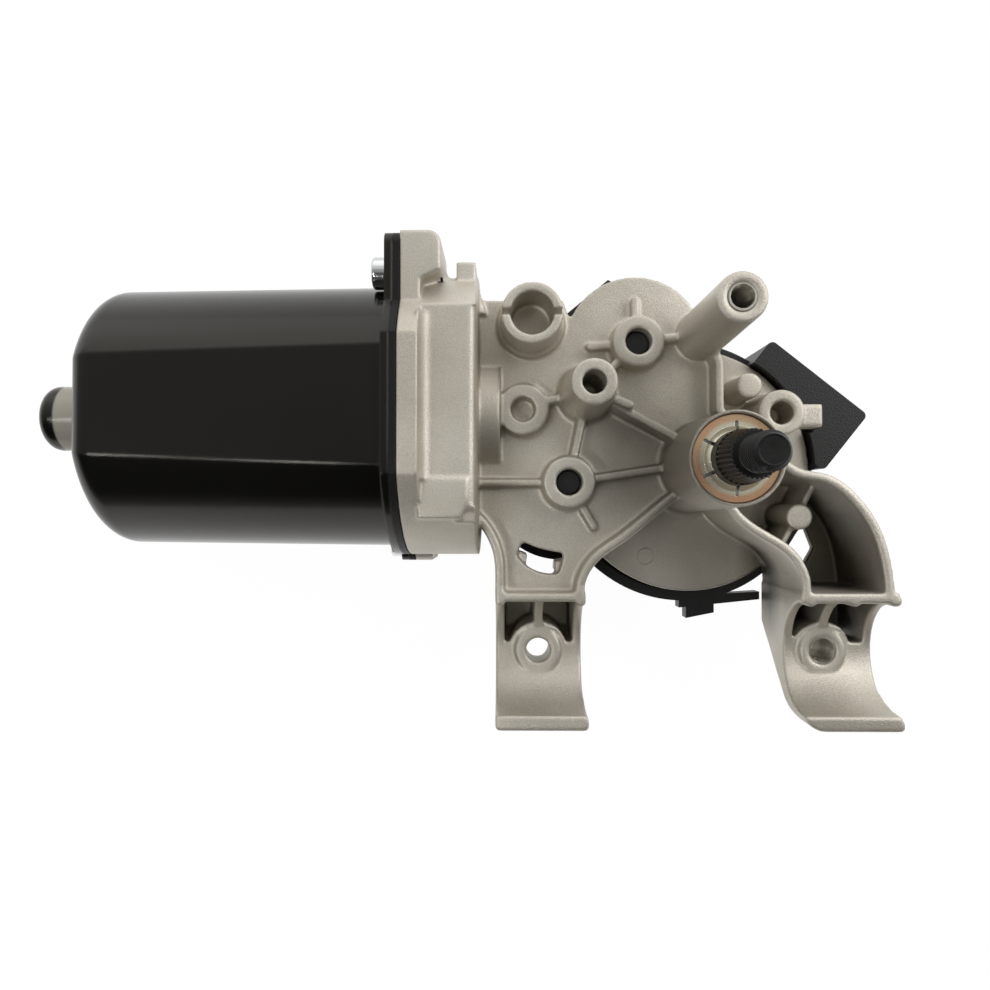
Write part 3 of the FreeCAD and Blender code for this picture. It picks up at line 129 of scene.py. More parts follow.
# Levels that the painted shade fills and fades out at, in millimetres
DEEP_LEVELS = (-73, -60)
CHANNEL_LEVELS = (-56, -40)
POCKET_LEVELS = (-61, -52)
# Colour of the painted shade beside the neck and in the recesses
PAINTED_SHADE_COLOUR = (0.10, 0.088, 0.066, 1.0)
# Radius of the pale cone inside the lock washer, in millimetres; its paler zinc colour also stands in for the
# cone's highlight
WASHER_CONE_R = 8.1
WASHER_CONE_ZINC_AND_SHEEN = (0.78, 0.74, 0.58, 1.0)

# Ranges of noise that the pits and the patches are spread over, and how far the roughness varies
PIT_RANGE = (0.3, 0.7)
PATCH_RANGE = (0.35, 0.65)
ROUGHNESS_SPREAD = 0.07
LEAST_ROUGHNESS = 0.02
EDGE_WEAR = 2.5
EDGE_SAMPLES = 6

# The output shaft's teeth and thread, in metres; a crest factor above one leaves the thread's crests flat
SPLINE_DEPTH = 0.00045
THREAD_RUN_IN = 0.0008
THREAD_CUT = 0.00062
CREST_FACTOR = 1.15
# The chamfer at the shaft's tip and the short step between rings, in millimetres
TIP_CHAMFER = 0.9
RING_STEP = 0.02
# Rings of the dished tip: share of the tip's radius, then millimetres outward and millimetres down
TIP_RINGS = [(1.0, 0.1, 0.1), (1.0, 0.0, 0.0), (0.93, 0.0, 0.0), (0.88, 0.0, 0.15), (0.1, 0.0, 0.2)]

# The studio: brightness of the ceiling from the front to the back, as stops of place and level
CEILING_STOPS = [(0.0, 0.035), (0.36, 0.04), (0.5, 0.22), (0.56, 0.27), (0.74, 0.5), (0.95, 1.0)]
# The horizon: how high it reaches, where it brightens from front to back, and between which levels
HORIZON_Z = (0.03, 0.2)
HORIZON_Y = (-0.5, 0.5)
HORIZON_LEVELS = (0.3, 1.3)
# The floor: half its side and the gap under the motor in metres, its colour, roughness and glow
FLOOR_HALF = 3.0
FLOOR_GAP = 0.0005
FLOOR_COLOUR = (0.6, 0.6, 0.6, 1.0)
FLOOR_ROUGHNESS = 0.9
FLOOR_STRENGTH = 1.06
# The key lamp: place from the motor's middle along X and Y, height and side, in metres
KEY_OFFSET = (0.58, 0.24)
KEY_HEIGHT = 0.42
KEY_SIDE = 0.4
# The strip lamp: place, target, length and width, in metres
STRIP_PLACE = (-0.33, -0.18, 0.46)
STRIP_TARGET = (-0.12, 0.0, -0.02)
STRIP_SIZE = (0.34, 0.03)


def length_setting(name, description, default):
    """A setting in metres."""
    return bpy.props.FloatProperty(
        name=name, description=description, default=default, unit="LENGTH", precision=6)


def share_setting(name, description, default):
    """A setting for a share of one."""
    return bpy.props.FloatProperty(name=name, description=description, default=default, subtype="FACTOR")


def power_setting(name, description, default):
    """A setting for a lamp's power."""
    return bpy.props.FloatProperty(name=name, description=description, default=default, subtype="POWER")


def angle_setting(name, description, degrees):
    """A setting for an angle."""
    return bpy.props.FloatProperty(
        name=name, description=description, default=math.radians(degrees), subtype="ANGLE")


def colour_setting(name, description, default):
    """A setting for a colour."""
    return bpy.props.FloatVectorProperty(
        name=name, description=description, default=default, subtype="COLOR", size=4)


class CastFinish(bpy.types.PropertyGroup):
    """The shot-blasted die casting."""
    metal: colour_setting("Metal", "Colour of the blasted aluminium", (0.625, 0.585, 0.51, 1.0))
    shade: colour_setting("Shade", "Colour in the stained patches", (0.50, 0.462, 0.39, 1.0))
    # Painted shade: the web beside the shaft's neck is darkened where the neck's shadow falls
    neck_shade: share_setting("Stain", "Depth of the stain beside the shaft's neck", 0.55)
    # Painted shade: a dark colour low in the casting, where its recesses lie in shade
    recess_shade: share_setting("Recess shade", "Depth of the dark film low in the casting", 0.88)
    grain: length_setting("Grain", "Size of the blasted pits", 0.00032)
    roughness: share_setting("Roughness", "Roughness of the blasted skin", 0.45)
    edge: length_setting("Edge", "Radius of the cast edges", 0.0007)


class CastSizes(bpy.types.PropertyGroup):
    """Foundry radii and machined details of the casting."""
    grid: length_setting("Grid", "Cell of the grid that the casting is rebuilt on", 0.00042)
    rounding: bpy.props.IntProperty(
        name="Rounding", description="Smoothing steps that round the edges", default=4)
    keep: share_setting("Keep", "Share of the rebuilt faces that is kept", 0.17)
    foot_fillet: length_setting("Foot fillet", "Radius at the foot of each boss", 0.0012)
    flange_fillet: length_setting("Flange fillet", "Radius between the barrel and its flange", 0.0032)
    barrel_edge: length_setting("Barrel edge", "Radius at the barrel's far edge", 0.0018)
    thread_pitch: length_setting("Thread pitch", "Pitch of the threads in the holes", 0.001)
    thread_depth: length_setting("Thread depth", "Depth of the threads in the holes", 0.00038)


class CaseFinish(bpy.types.PropertyGroup):
    """The painted motor case."""
    paint: colour_setting("Paint", "Colour of the case's paint", (0.003, 0.003, 0.0028, 1.0))
    roughness: share_setting("Roughness", "Roughness of the paint", 0.17)
    # Painted reflection: the pale band on the rear cup, between its start and end along X, stands in for the
    # reflection seen there
    cup: colour_setting("Cup", "Colour of the bare band on the rear cup", (0.42, 0.39, 0.33, 1.0))
    cup_start: length_setting("Cup start", "Where the bare band starts along X", -0.1666)
    cup_end: length_setting("Cup end", "Where the bare band ends along X", -0.1527)
    peel: length_setting("Peel", "Size of the paint's waves", 0.0025)


class ShaftSizes(bpy.types.PropertyGroup):
    """The turned end of the output shaft."""
    stem: length_setting("Stem radius", "Radius of the plain shaft", 0.006)
    spline_top: length_setting("Spline top radius", "Radius of the spline at its small end", 0.0052)
    spline_length: length_setting("Spline length", "Length of the tapered spline", 0.009)
    spline_teeth: bpy.props.IntProperty(
        name="Spline teeth", description="Teeth round the tapered spline", default=32)
    thread: length_setting("Thread radius", "Outer radius of the thread", 0.004)
    pitch: length_setting("Pitch", "Pitch of the thread", 0.00125)


class StudioSettings(bpy.types.PropertyGroup):
    """Camera, floor and lamps."""
    camera: bpy.props.FloatVectorProperty(
        name="Camera", description="Place of the camera", subtype="TRANSLATION", size=3,
        default=(-0.05035, -0.01151, 0.16302))
    yaw: angle_setting("Yaw", "Turn of the camera to the side", 0.828)
    pitch: angle_setting("Pitch", "Tilt of the camera", 1.134)
    lens: bpy.props.FloatProperty(
        name="Lens", description="Focal length on a 36 mm sensor", default=29.37, subtype="DISTANCE_CAMERA")
    key_power: power_setting("Key lamp", "Power of the lamp at the right", 2.1)
    strip_power: power_setting("Strip lamp", "Power of the narrow lamp overhead", 0.8)
    ceiling: bpy.props.FloatProperty(
        name="Ceiling", description="Brightness of the studio's ceiling at the back", default=1.5)
    floor_glow: share_setting("Floor glow", "Share of plain white in the floor that the camera sees", 0.92)


def new_group(name, inputs, outputs):
    """A new shader group with its named sockets, and the nodes at its two ends."""
    group = bpy.data.node_groups.new(name, "ShaderNodeTree")
    for label, kind, value in inputs:
        socket = group.interface.new_socket(label, in_out="INPUT", socket_type=kind)
        socket.default_value = value
    for label, kind in outputs:
        group.interface.new_socket(label, in_out="OUTPUT", socket_type=kind)
    start = group.nodes.new("NodeGroupInput")
    end = group.nodes.new("NodeGroupOutput")
    return group, start, end


def feed(tree, target, value):
    """Links a socket to an input, or sets a plain value on it."""
    if isinstance(value, bpy.types.NodeSocket):
        tree.links.new(value, target)
    else:
        target.default_value = value


def math_node(tree, operation, first, second, clamp=False):
    """A math node fed by sockets or numbers."""
    node = tree.nodes.new("ShaderNodeMath")
    node.operation = operation
    node.use_clamp = clamp
    feed(tree, node.inputs[0], first)
    feed(tree, node.inputs[1], second)
    return node.outputs[0]


def map_node(tree, value, low, high, to_low=0.0, to_high=1.0):
    """A value moved from one range to another and held at its ends."""
    node = tree.nodes.new("ShaderNodeMapRange")
    feed(tree, node.inputs["Value"], value)
    feed(tree, node.inputs["From Min"], low)
    feed(tree, node.inputs["From Max"], high)
    feed(tree, node.inputs["To Min"], to_low)
    feed(tree, node.inputs["To Max"], to_high)
    return node.outputs["Result"]


def mix_node(tree, mask, first, second):
    """The first colour where a mask is nothing and the second where it is one."""
    node = tree.nodes.new("ShaderNodeMix")
    node.data_type = "RGBA"
    feed(tree, node.inputs["Factor"], mask)
    feed(tree, node.inputs["A"], first)
    feed(tree, node.inputs["B"], second)
    return node.outputs["Result"]


def noise_node(tree, scale, detail, coordinates):
    """Smooth noise at so many waves a metre."""
    node = tree.nodes.new("ShaderNodeTexNoise")
    feed(tree, node.inputs["Vector"], coordinates)
    feed(tree, node.inputs["Scale"], scale)
    feed(tree, node.inputs["Detail"], detail)
    return node.outputs["Fac"]


def object_coordinates(tree):
    """Coordinates fixed to the piece."""
    return tree.nodes.new("ShaderNodeTexCoord").outputs["Object"]


def split_node(tree, vector):
    """A node that gives a vector's parts along X, Y and Z."""
    node = tree.nodes.new("ShaderNodeSeparateXYZ")
    tree.links.new(vector, node.inputs["Vector"])
    return node


def edge_group():
    """Rounded normals and a mask along sharp edges."""
    group, start, end = new_group(
        "soft_edge", [("Radius", "NodeSocketFloat", 0.0004), ("Wear", "NodeSocketFloat", 1.0)],
        [("Normal", "NodeSocketVector"), ("Mask", "NodeSocketFloat")])
    bevel = group.nodes.new("ShaderNodeBevel")
    bevel.samples = EDGE_SAMPLES
    geometry = group.nodes.new("ShaderNodeNewGeometry")
    dot = group.nodes.new("ShaderNodeVectorMath")
    dot.operation = "DOT_PRODUCT"
    group.links.new(start.outputs["Radius"], bevel.inputs["Radius"])
    group.links.new(bevel.outputs["Normal"], dot.inputs[0])
    group.links.new(geometry.outputs["Normal"], dot.inputs[1])
    turned = math_node(group, "SUBTRACT", 1.0, dot.outputs["Value"])
    worn = math_node(group, "MULTIPLY", turned, start.outputs["Wear"], clamp=True)
    group.links.new(bevel.outputs["Normal"], end.inputs["Normal"])
    group.links.new(worn, end.inputs["Mask"])
    return group


def grain_group():
    """Two sizes of noise: pits for a bump and patches for a colour."""
    group, start, end = new_group(
        "surface_grain", [("Grain", "NodeSocketFloat", 0.0004), ("Patch", "NodeSocketFloat", 0.02)],
        [("Pits", "NodeSocketFloat"), ("Patches", "NodeSocketFloat")])
    place = object_coordinates(group)
    fine = noise_node(group, math_node(group, "DIVIDE", 1.0, start.outputs["Grain"]), 3.0, place)
    broad = noise_node(group, math_node(group, "DIVIDE", 1.0, start.outputs["Patch"]), 4.0, place)
    group.links.new(fine, end.inputs["Pits"])
    group.links.new(broad, end.inputs["Patches"])
    return group


def disc_group():
    """A mask that is one inside a radius round an upright axis and fades out at an outer radius."""
    group, start, end = new_group(
        "upright_disc",
        [("Offset", "NodeSocketVector", (0.0, 0.0, 0.0)), ("Inner", "NodeSocketFloat", 0.01),
         ("Outer", "NodeSocketFloat", 0.011)],
        [("Mask", "NodeSocketFloat")])
    flat = group.nodes.new("ShaderNodeVectorMath")
    flat.operation = "MULTIPLY_ADD"
    flat.inputs[1].default_value = (1.0, 1.0, 0.0)
    group.links.new(object_coordinates(group), flat.inputs[0])
    group.links.new(start.outputs["Offset"], flat.inputs[2])
    length = group.nodes.new("ShaderNodeVectorMath")
    length.operation = "LENGTH"
    group.links.new(flat.outputs["Vector"], length.inputs[0])
    mask = map_node(group, length.outputs["Value"], start.outputs["Inner"], start.outputs["Outer"], 1.0, 0.0)
    group.links.new(mask, end.inputs["Mask"])
    return group


MAKERS = {"soft_edge": edge_group, "surface_grain": grain_group, "upright_disc": disc_group}
GROUPS = {}


def shared(tree, name):
    """A node that uses a shared group, which is made the first time."""
    if name not in GROUPS:
        GROUPS[name] = MAKERS[name]()
    node = tree.nodes.new("ShaderNodeGroup")
    node.node_tree = GROUPS[name]
    return node


def speckled(tree, colour, pits, depth):
    """A colour made darker in the pits of the grain and lighter between them."""
    dimmed = tree.nodes.new("ShaderNodeVectorMath")
    dimmed.operation = "SCALE"
    tree.links.new(colour, dimmed.inputs[0])
    tree.links.new(map_node(tree, pits, *PIT_RANGE, 1.0 - depth, 1.0 + depth), dimmed.inputs["Scale"])
    return dimmed.outputs["Vector"]


def finish_material(name, colours, roughness, metallic=0.0, grain=0.0004, patch=0.02, bump=0.1,
                    edge=0.0003, edge_colour=None, specular=0.5, speckle=0.0):
    """A material with grain, patches of a second colour and rounded, worn edges."""
    material = bpy.data.materials.new(name)
    material.use_nodes = True
    tree = material.node_tree
    shader = tree.nodes["Principled BSDF"]
    shader.inputs["Metallic"].default_value = metallic
    shader.inputs["Specular IOR Level"].default_value = specular
    surface = shared(tree, "surface_grain")
    surface.inputs["Grain"].default_value = grain
    surface.inputs["Patch"].default_value = patch
    rim = shared(tree, "soft_edge")
    rim.inputs["Radius"].default_value = edge
    rim.inputs["Wear"].default_value = EDGE_WEAR
    patches = surface.outputs["Patches"]
    colour = mix_node(tree, map_node(tree, patches, *PATCH_RANGE), *colours)
    if edge_colour is not None:
        colour = mix_node(tree, rim.outputs["Mask"], colour, edge_colour)
    if speckle:
        colour = speckled(tree, colour, surface.outputs["Pits"], speckle)
    tree.links.new(colour, shader.inputs["Base Color"])
    least = max(roughness - ROUGHNESS_SPREAD, LEAST_ROUGHNESS)
    rough = map_node(tree, patches, 0.0, 1.0, least, roughness + ROUGHNESS_SPREAD)
    tree.links.new(rough, shader.inputs["Roughness"])
    raised = tree.nodes.new("ShaderNodeBump")
    raised.inputs["Strength"].default_value = bump
    raised.inputs["Distance"].default_value = grain
    tree.links.new(surface.outputs["Pits"], raised.inputs["Height"])
    tree.links.new(rim.outputs["Normal"], raised.inputs["Normal"])
    tree.links.new(raised.outputs["Normal"], shader.inputs["Normal"])
    return material


def tint(material, mask, colour):
    """Mixes one more colour into a material where a mask is one."""
    tree = material.node_tree
    target = tree.nodes["Principled BSDF"].inputs["Base Color"]
    tree.links.new(mix_node(tree, mask, target.links[0].from_socket, colour), target)


def axis_band(tree, start, end, soft=0.0003):
    """A mask that is one between two places along X."""
    along = split_node(tree, object_coordinates(tree)).outputs["X"]
    rise = map_node(tree, along, start - soft, start + soft)
    fall = map_node(tree, along, end - soft, end + soft, 1.0, 0.0)
    return math_node(tree, "MULTIPLY", rise, fall)


def low_mask(tree, levels):
    """A mask that is one below the first level and nothing above the second, both in millimetres."""
    height = split_node(tree, object_coordinates(tree)).outputs["Z"]
    low, high = levels
    return map_node(tree, height, low * MM, high * MM, 1.0, 0.0)


def disc_mask(tree, x, y, radius, soft=0.4):
    """A mask that is one inside a radius round an upright axis, with its sizes in millimetres."""
    disc = shared(tree, "upright_disc")
    disc.inputs["Offset"].default_value = (-x * MM, -y * MM, 0.0)
    disc.inputs["Inner"].default_value = radius * MM - soft * MM
    disc.inputs["Outer"].default_value = radius * MM + soft * MM
    return disc.outputs["Mask"]


def painted_shade_mask(tree, finish):
    """A mask of painted shade beside the shaft's neck, where its shadow falls, and low in the casting's
    recesses.
    """
    darkened = math_node(tree, "MULTIPLY", disc_mask(tree, *NECK_SHADE), finish.neck_shade)
    channel = math_node(tree, "MULTIPLY", disc_mask(tree, *CHANNEL_SHADE), low_mask(tree, CHANNEL_LEVELS))
    pockets = math_node(tree, "MULTIPLY", disc_mask(tree, *POCKET_SHADE), low_mask(tree, POCKET_LEVELS))
    hollows = math_node(tree, "MAXIMUM", channel, pockets)
    recess = math_node(tree, "MAXIMUM", low_mask(tree, DEEP_LEVELS), hollows)
    painted_recess_shade = math_node(tree, "MULTIPLY", recess, finish.recess_shade)
    return math_node(tree, "MAXIMUM", darkened, painted_recess_shade)


def dress(node, material):
    """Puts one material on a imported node."""
    mesh = NODES[node].data
    mesh.materials.clear()
    mesh.materials.append(material)


def linked(name, mesh):
    """A new object in the scene."""
    thing = bpy.data.objects.new(name, mesh)
    bpy.context.scene.collection.objects.link(thing)
    return thing


def finished_piece(name, mesh, material, body):
    """A smooth piece that rides on a body and takes one material."""
    mesh.materials.clear()
    mesh.materials.append(material)
    mesh.polygons.foreach_set("use_smooth", [True] * len(mesh.polygons))
    piece = linked(name, mesh)
    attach(piece, body)
    return piece


def mesh_from(shape, name):
    """A mesh from a shape in work, with its normals turned outward. The shape is used up."""
    bmesh.ops.recalc_face_normals(shape, faces=shape.faces)
    mesh = bpy.data.meshes.new(name)
    shape.to_mesh(mesh)
    shape.free()
    return mesh


def add_loops(shape, loops, closed):
    """Skins closed loops of points one after another, back to the first or with a cap at each end."""
    rows = [[shape.verts.new(point) for point in loop] for loop in loops]
    pairs = list(zip(rows, rows[1:]))
    if closed:
        pairs.append((rows[-1], rows[0]))
    for near, far in pairs:
        for this in range(len(near)):
            after = (this + 1) % len(near)
            shape.faces.new((near[this], far[this], far[after], near[after]))
    if not closed:
        shape.faces.new(rows[0][::-1])
        shape.faces.new(rows[-1])


def around(radius, z, angle, x=0.0, y=0.0):
    """A point at a radius and an angle round an upright axis."""
    return (x + radius * math.cos(angle), y + radius * math.sin(angle), z)


def add_turned(shape, outline, x, y, first=0.0, last=360.0, steps=64):
    """A body swept round an upright axis from a closed outline of radius and height."""
    full = last - first >= 360.0
    loops = []
    for step in range(steps if full else steps + 1):
        angle = math.radians(first + (last - first) * step / steps)
        loops.append([around(radius, z, angle, x, y) for radius, z in outline])
    add_loops(shape, loops, full)


def add_bar(shape, outline, first, last):
    """A body pulled along Y, between two places in millimetres, from a closed outline of X and Z."""
    add_loops(shape, [[(x, y * MM, z) for x, z in outline] for y in (first, last)], False)


def quarter_arc(steps=8):
    """Sines and cosines over a quarter turn."""
    angles = [math.pi / 2 * n / steps for n in range(steps + 1)]
    return [(math.sin(angle), math.cos(angle)) for angle in angles]


def hollow_corner(size, sunk):
    """The section of a fillet in a corner, with its back sunk into both walls."""
    arc = [(size - size * sine, size - size * cosine) for sine, cosine in quarter_arc()]
    return [(-sunk, -sunk), (size, -sunk)] + arc + [(-sunk, size)]


def corner_waste(size, over):
    """The section that is cut away to round an outside corner."""
    arc = [(-size + size * sine, -size + size * cosine) for sine, cosine in quarter_arc()]
    return [(-size, over)] + arc + [(over, -size), (over, over)]


def moved(outline, right, up):
    """An outline in metres moved right and up by two distances in millimetres."""
    return [(right * MM + across, up * MM + height) for across, height in outline]


def in_metres(points):
    """Points in millimetres turned into metres."""
    return [tuple(value * MM for value in point) for point in points]


def casting_cuts(sizes):
    """What is cut off the casting: the barrel's edge, two countersinks and the parting notches."""
    shape = bmesh.new()
    edge = moved(corner_waste(sizes.barrel_edge, CUT_OVER * MM), BARREL_END_X, BARREL_FLAT_Z)
    add_bar(shape, edge, *BARREL_EDGE_Y)
    for x, y, top, radius, _, sink in THREADED_HOLES.values():
        cone = [(AXIS_GAP, top - sink), (radius - HOLE_GAP, top - sink), (radius + sink, top),
                (radius + sink, top + CUT_OVER), (AXIS_GAP, top + CUT_OVER)]
        add_turned(shape, in_metres(cone), x * MM, y * MM)
    bottom = RIM_TOP_Z - NOTCH_DEPTH
    top = RIM_TOP_Z + CUT_OVER
    for left, right in RIM_NOTCHES:
        notch = [(left, bottom), (right, bottom), (right, top), (left, top)]
        add_bar(shape, in_metres(notch), NOTCH_Y - NOTCH_HALF, NOTCH_Y + NOTCH_HALF)
    return mesh_from(shape, "casting_cuts")


def add_fillets(shape, sizes):
    """Radii at the boss feet and beside the flange, and the sloped floor in the left foot's pockets."""
    sunk = FILLET_SUNK * MM
    feet = list(BOSS_FEET)
    for node in ("counter_pin_upper", "counter_pin_lower"):
        low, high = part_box(node)
        middle = (low + high) / 2 / MM
        feet.append((middle.x, middle.y, WEB_Z, PIN_BOSS_R, 0, 360))
    for x, y, level, radius, first, last in feet:
        outline = moved(hollow_corner(sizes.foot_fillet, sunk), radius, level)
        add_turned(shape, outline, x * MM, y * MM, first, last)
    outline = moved(hollow_corner(sizes.flange_fillet, sunk), FLANGE_FACE_X, BARREL_FLAT_Z)
    add_bar(shape, outline, *FLANGE_FILLET_Y)
    add_loops(shape, [in_metres((x, y, z) for y, z in POCKET_FLOOR) for x in POCKET_FLOOR_X], False)


def as_mesh(thing):
    """The mesh of an object with its modifiers applied."""
    depsgraph = bpy.context.evaluated_depsgraph_get()
    depsgraph.update()
    return bpy.data.meshes.new_from_object(thing.evaluated_get(depsgraph))


def rebuilt_casting(sizes):
    """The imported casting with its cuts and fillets, rebuilt as one closed skin with rounded edges."""
    work = linked("casting_work", NODES["gear_housing"].data.copy())
    welded = bmesh.new()
    welded.from_mesh(work.data)
    bmesh.ops.remove_doubles(welded, verts=welded.verts, dist=WELD * MM)
    welded.to_mesh(work.data)
    welded.free()
    cutter = linked("casting_cutter", casting_cuts(sizes))
    cut = work.modifiers.new("cuts", "BOOLEAN")
    cut.operation = "DIFFERENCE"
    cut.solver = "EXACT"
    cut.object = cutter
    joined = bmesh.new()
    joined.from_mesh(as_mesh(work))
    add_fillets(joined, sizes)
    work.modifiers.clear()
    work.data = mesh_from(joined, "casting")
    grid = work.modifiers.new("grid", "REMESH")
    grid.mode = "VOXEL"
    grid.voxel_size = sizes.grid
    soft = work.modifiers.new("soft", "SMOOTH")
    soft.factor = 0.5
    soft.iterations = sizes.rounding
    fewer = work.modifiers.new("fewer", "DECIMATE")
    fewer.ratio = sizes.keep
    mesh = as_mesh(work)
    bpy.data.objects.remove(work)
    bpy.data.objects.remove(cutter)
    if len(mesh.polygons) < LEAST_FACES:
        raise RuntimeError("the casting came out empty")
    return mesh


def threaded_sleeve(x, y, top, radius, depth, sizes, steps=48, rows_per_pitch=8):
    """A thread cut in a hole, as a thin sleeve against its wall."""
    shape = bmesh.new()
    start = top - THREAD_START
    rows = int(depth * MM / sizes.thread_pitch * rows_per_pitch)
    back = (radius + SLEEVE_WALL) * MM
    loops = []
    for step in range(steps):
        angle = TURN * step / steps
        section = []
        for row in range(rows + 1):
            z = (start - depth * row / rows) * MM
            ridge = abs((z / sizes.thread_pitch - step / steps) % 1.0 * 2.0 - 1.0)
            section.append((radius * MM - sizes.thread_depth * ridge, z))
        section += [(back, (start - depth) * MM), (back, start * MM)]
        loops.append([around(reach, z, angle, x * MM, y * MM) for reach, z in section])
    add_loops(shape, loops, True)
    return mesh_from(shape, "thread")


class WIPER_OT_casting(bpy.types.Operator):
    """The blasted die casting with its radii, two threads and an ejector mark."""
    bl_idname = "wiper.casting"
    bl_label = "Gear housing"

    def execute(self, context):
        finish = context.scene.wiper_cast
        sizes = context.scene.wiper_cast_sizes
        metal = finish_material(
            "blasted_aluminium", (tuple(finish.metal), tuple(finish.shade)), finish.roughness, metallic=0.65,
            grain=finish.grain, patch=0.03, bump=0.32, edge=finish.edge, edge_colour=(0.62, 0.615, 0.59, 1.0),
            speckle=0.13)
        # Painted shade beside the shaft's neck and low in the casting's recesses
        tint(metal, painted_shade_mask(metal.node_tree, finish), PAINTED_SHADE_COLOUR)
        cut_metal = finish_material(
            "cut_aluminium", ((0.62, 0.59, 0.53, 1.0), (0.50, 0.47, 0.41, 1.0)), 0.3, metallic=1.0,
            grain=0.0003, patch=0.003, bump=0.1, edge=0.0001)
        casting = finished_piece("gear_housing_cast", rebuilt_casting(sizes), metal, "casing")
        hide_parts("gear_housing")
        for name, (x, y, top, radius, depth, _) in THREADED_HOLES.items():
            sleeve = threaded_sleeve(x, y, top, radius, depth, sizes)
            piece = finished_piece(name, sleeve, cut_metal, "casing")
            piece.data.set_sharp_from_angle(angle=math.radians(30))
        x, y, level, radius = EJECTOR_MARK
        shape = bmesh.new()
        add_turned(shape, in_metres((radius + out, level + up) for out, up in MARK_RIM), x * MM, y * MM)
        finished_piece("ejector_mark", mesh_from(shape, "mark"), metal, "casing")
        return {"FINISHED"}


class WIPER_OT_case(bpy.types.Operator):
    """Black paint for the motor case, with its seal and screws."""
    bl_idname = "wiper.case"
    bl_label = "Motor case"

    def execute(self, context):
        finish = context.scene.wiper_case
        paint = finish_material(
            "case_paint", (tuple(finish.paint), (0.005, 0.005, 0.0045, 1.0)), finish.roughness,
            grain=finish.peel, patch=0.05, bump=0.004, edge=0.0011, specular=0.38)
        shader = paint.node_tree.nodes["Principled BSDF"]
        shader.inputs["Specular Tint"].default_value = (1.0, 0.95, 0.84, 1.0)
        # Painted reflection: a pale band on the rear cup
        tint(paint, axis_band(paint.node_tree, finish.cup_start, finish.cup_end), tuple(finish.cup))
        rubber = finish_material(
            "seal_rubber", ((0.005, 0.005, 0.005, 1.0), (0.008, 0.008, 0.007, 1.0)), 0.5,
            grain=0.0004, bump=0.2, edge=0.0003, specular=0.25)
        plating = finish_material(
            "bright_plating", ((0.75, 0.75, 0.74, 1.0), (0.65, 0.66, 0.66, 1.0)), 0.12, metallic=1.0,
            grain=0.0006, bump=0.03, edge=0.0003)
        dress("motor_yoke", paint)
        dress("yoke_seal", rubber)
        dress("yoke_screws", plating)
        return {"FINISHED"}


def shaft_radius(sizes, angle, z):
    """Radius of the output shaft at an angle and a height."""
    if z < -sizes.spline_length:
        return sizes.stem
    if z < 0.0:
        share = 1.0 + z / sizes.spline_length
        outer = sizes.stem + (sizes.spline_top - sizes.stem) * share
        wave = abs((angle * sizes.spline_teeth / TURN) % 1.0 * 2.0 - 1.0)
        return outer - SPLINE_DEPTH * (1.0 - wave)
    ridge = abs((z / sizes.pitch - angle / TURN) % 1.0 * 2.0 - 1.0)
    fade = min(1.0, max(0.0, (z - THREAD_RUN_IN) / sizes.pitch))
    cut = THREAD_CUT * (1.0 - min(1.0, ridge * CREST_FACTOR)) * fade
    return sizes.thread - cut


def shaft_loops(sizes, foot, tip, count=192, steps=120):
    """Rings of points from the shaft's foot to its dished tip."""
    chamfer = TIP_CHAMFER * MM
    short = RING_STEP * MM
    levels = [foot, -sizes.spline_length - short, -sizes.spline_length, -short, 0.0]
    levels += [(tip - chamfer) * n / steps for n in range(1, steps + 1)]
    angles = [TURN * n / count for n in range(count)]
    loops = [[around(shaft_radius(sizes, angle, z), z, angle) for angle in angles] for z in levels]
    end_radius = sizes.thread - chamfer
    for share, out, down in TIP_RINGS:
        radius = end_radius * share + out * MM
        loops.append([around(radius, tip - down * MM, angle) for angle in angles])
    return loops


class WIPER_OT_output(bpy.types.Operator):
    """The turned output shaft, its washers and all the plain bushes."""
    bl_idname = "wiper.output"
    bl_label = "Output shaft"

    def execute(self, context):
        sizes = context.scene.wiper_shaft
        low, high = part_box("output_shaft")
        black = finish_material(
            "black_steel", ((0.005, 0.005, 0.005, 1.0), (0.012, 0.011, 0.010, 1.0)), 0.34,
            grain=0.0003, patch=0.004, bump=0.1, edge=0.0001, edge_colour=(0.03, 0.029, 0.027, 1.0),
            specular=0.3)
        turned = bmesh.new()
        add_loops(turned, shaft_loops(sizes, low.z, high.z), False)
        shaft = finished_piece(
            "output_shaft_turned", mesh_from(turned, "shaft"), black, "output")
        shaft.data.set_sharp_from_angle(angle=math.radians(35))
        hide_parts("output_shaft")
        zinc = finish_material(
            "yellow_zinc", ((0.74, 0.43, 0.26, 1.0), (0.70, 0.50, 0.30, 1.0)), 0.22, metallic=0.75,
            grain=0.0005, patch=0.006, bump=0.06, edge=0.0002)
        # The cone inside the washer is painted paler: a zinc tone that also stands in for its highlight
        tint(zinc, disc_mask(zinc.node_tree, 0.0, 0.0, WASHER_CONE_R), WASHER_CONE_ZINC_AND_SHEEN)
        steel = finish_material(
            "ground_steel", ((0.55, 0.55, 0.54, 1.0), (0.42, 0.42, 0.42, 1.0)), 0.3, metallic=1.0,
            grain=0.0003, bump=0.08, edge=0.0002)
        bronze = finish_material(
            "sintered_bronze", ((0.42, 0.28, 0.14, 1.0), (0.30, 0.20, 0.11, 1.0)), 0.5, metallic=1.0,
            grain=0.0003, bump=0.25, edge=0.0002)
        dress("star_washer", zinc)
        dress("thrust_washer", steel)
        for node in ("shaft_bush_inner", "shaft_bush_outer", "rear_bush", "tip_bush"):
            dress(node, bronze)
        return {"FINISHED"}


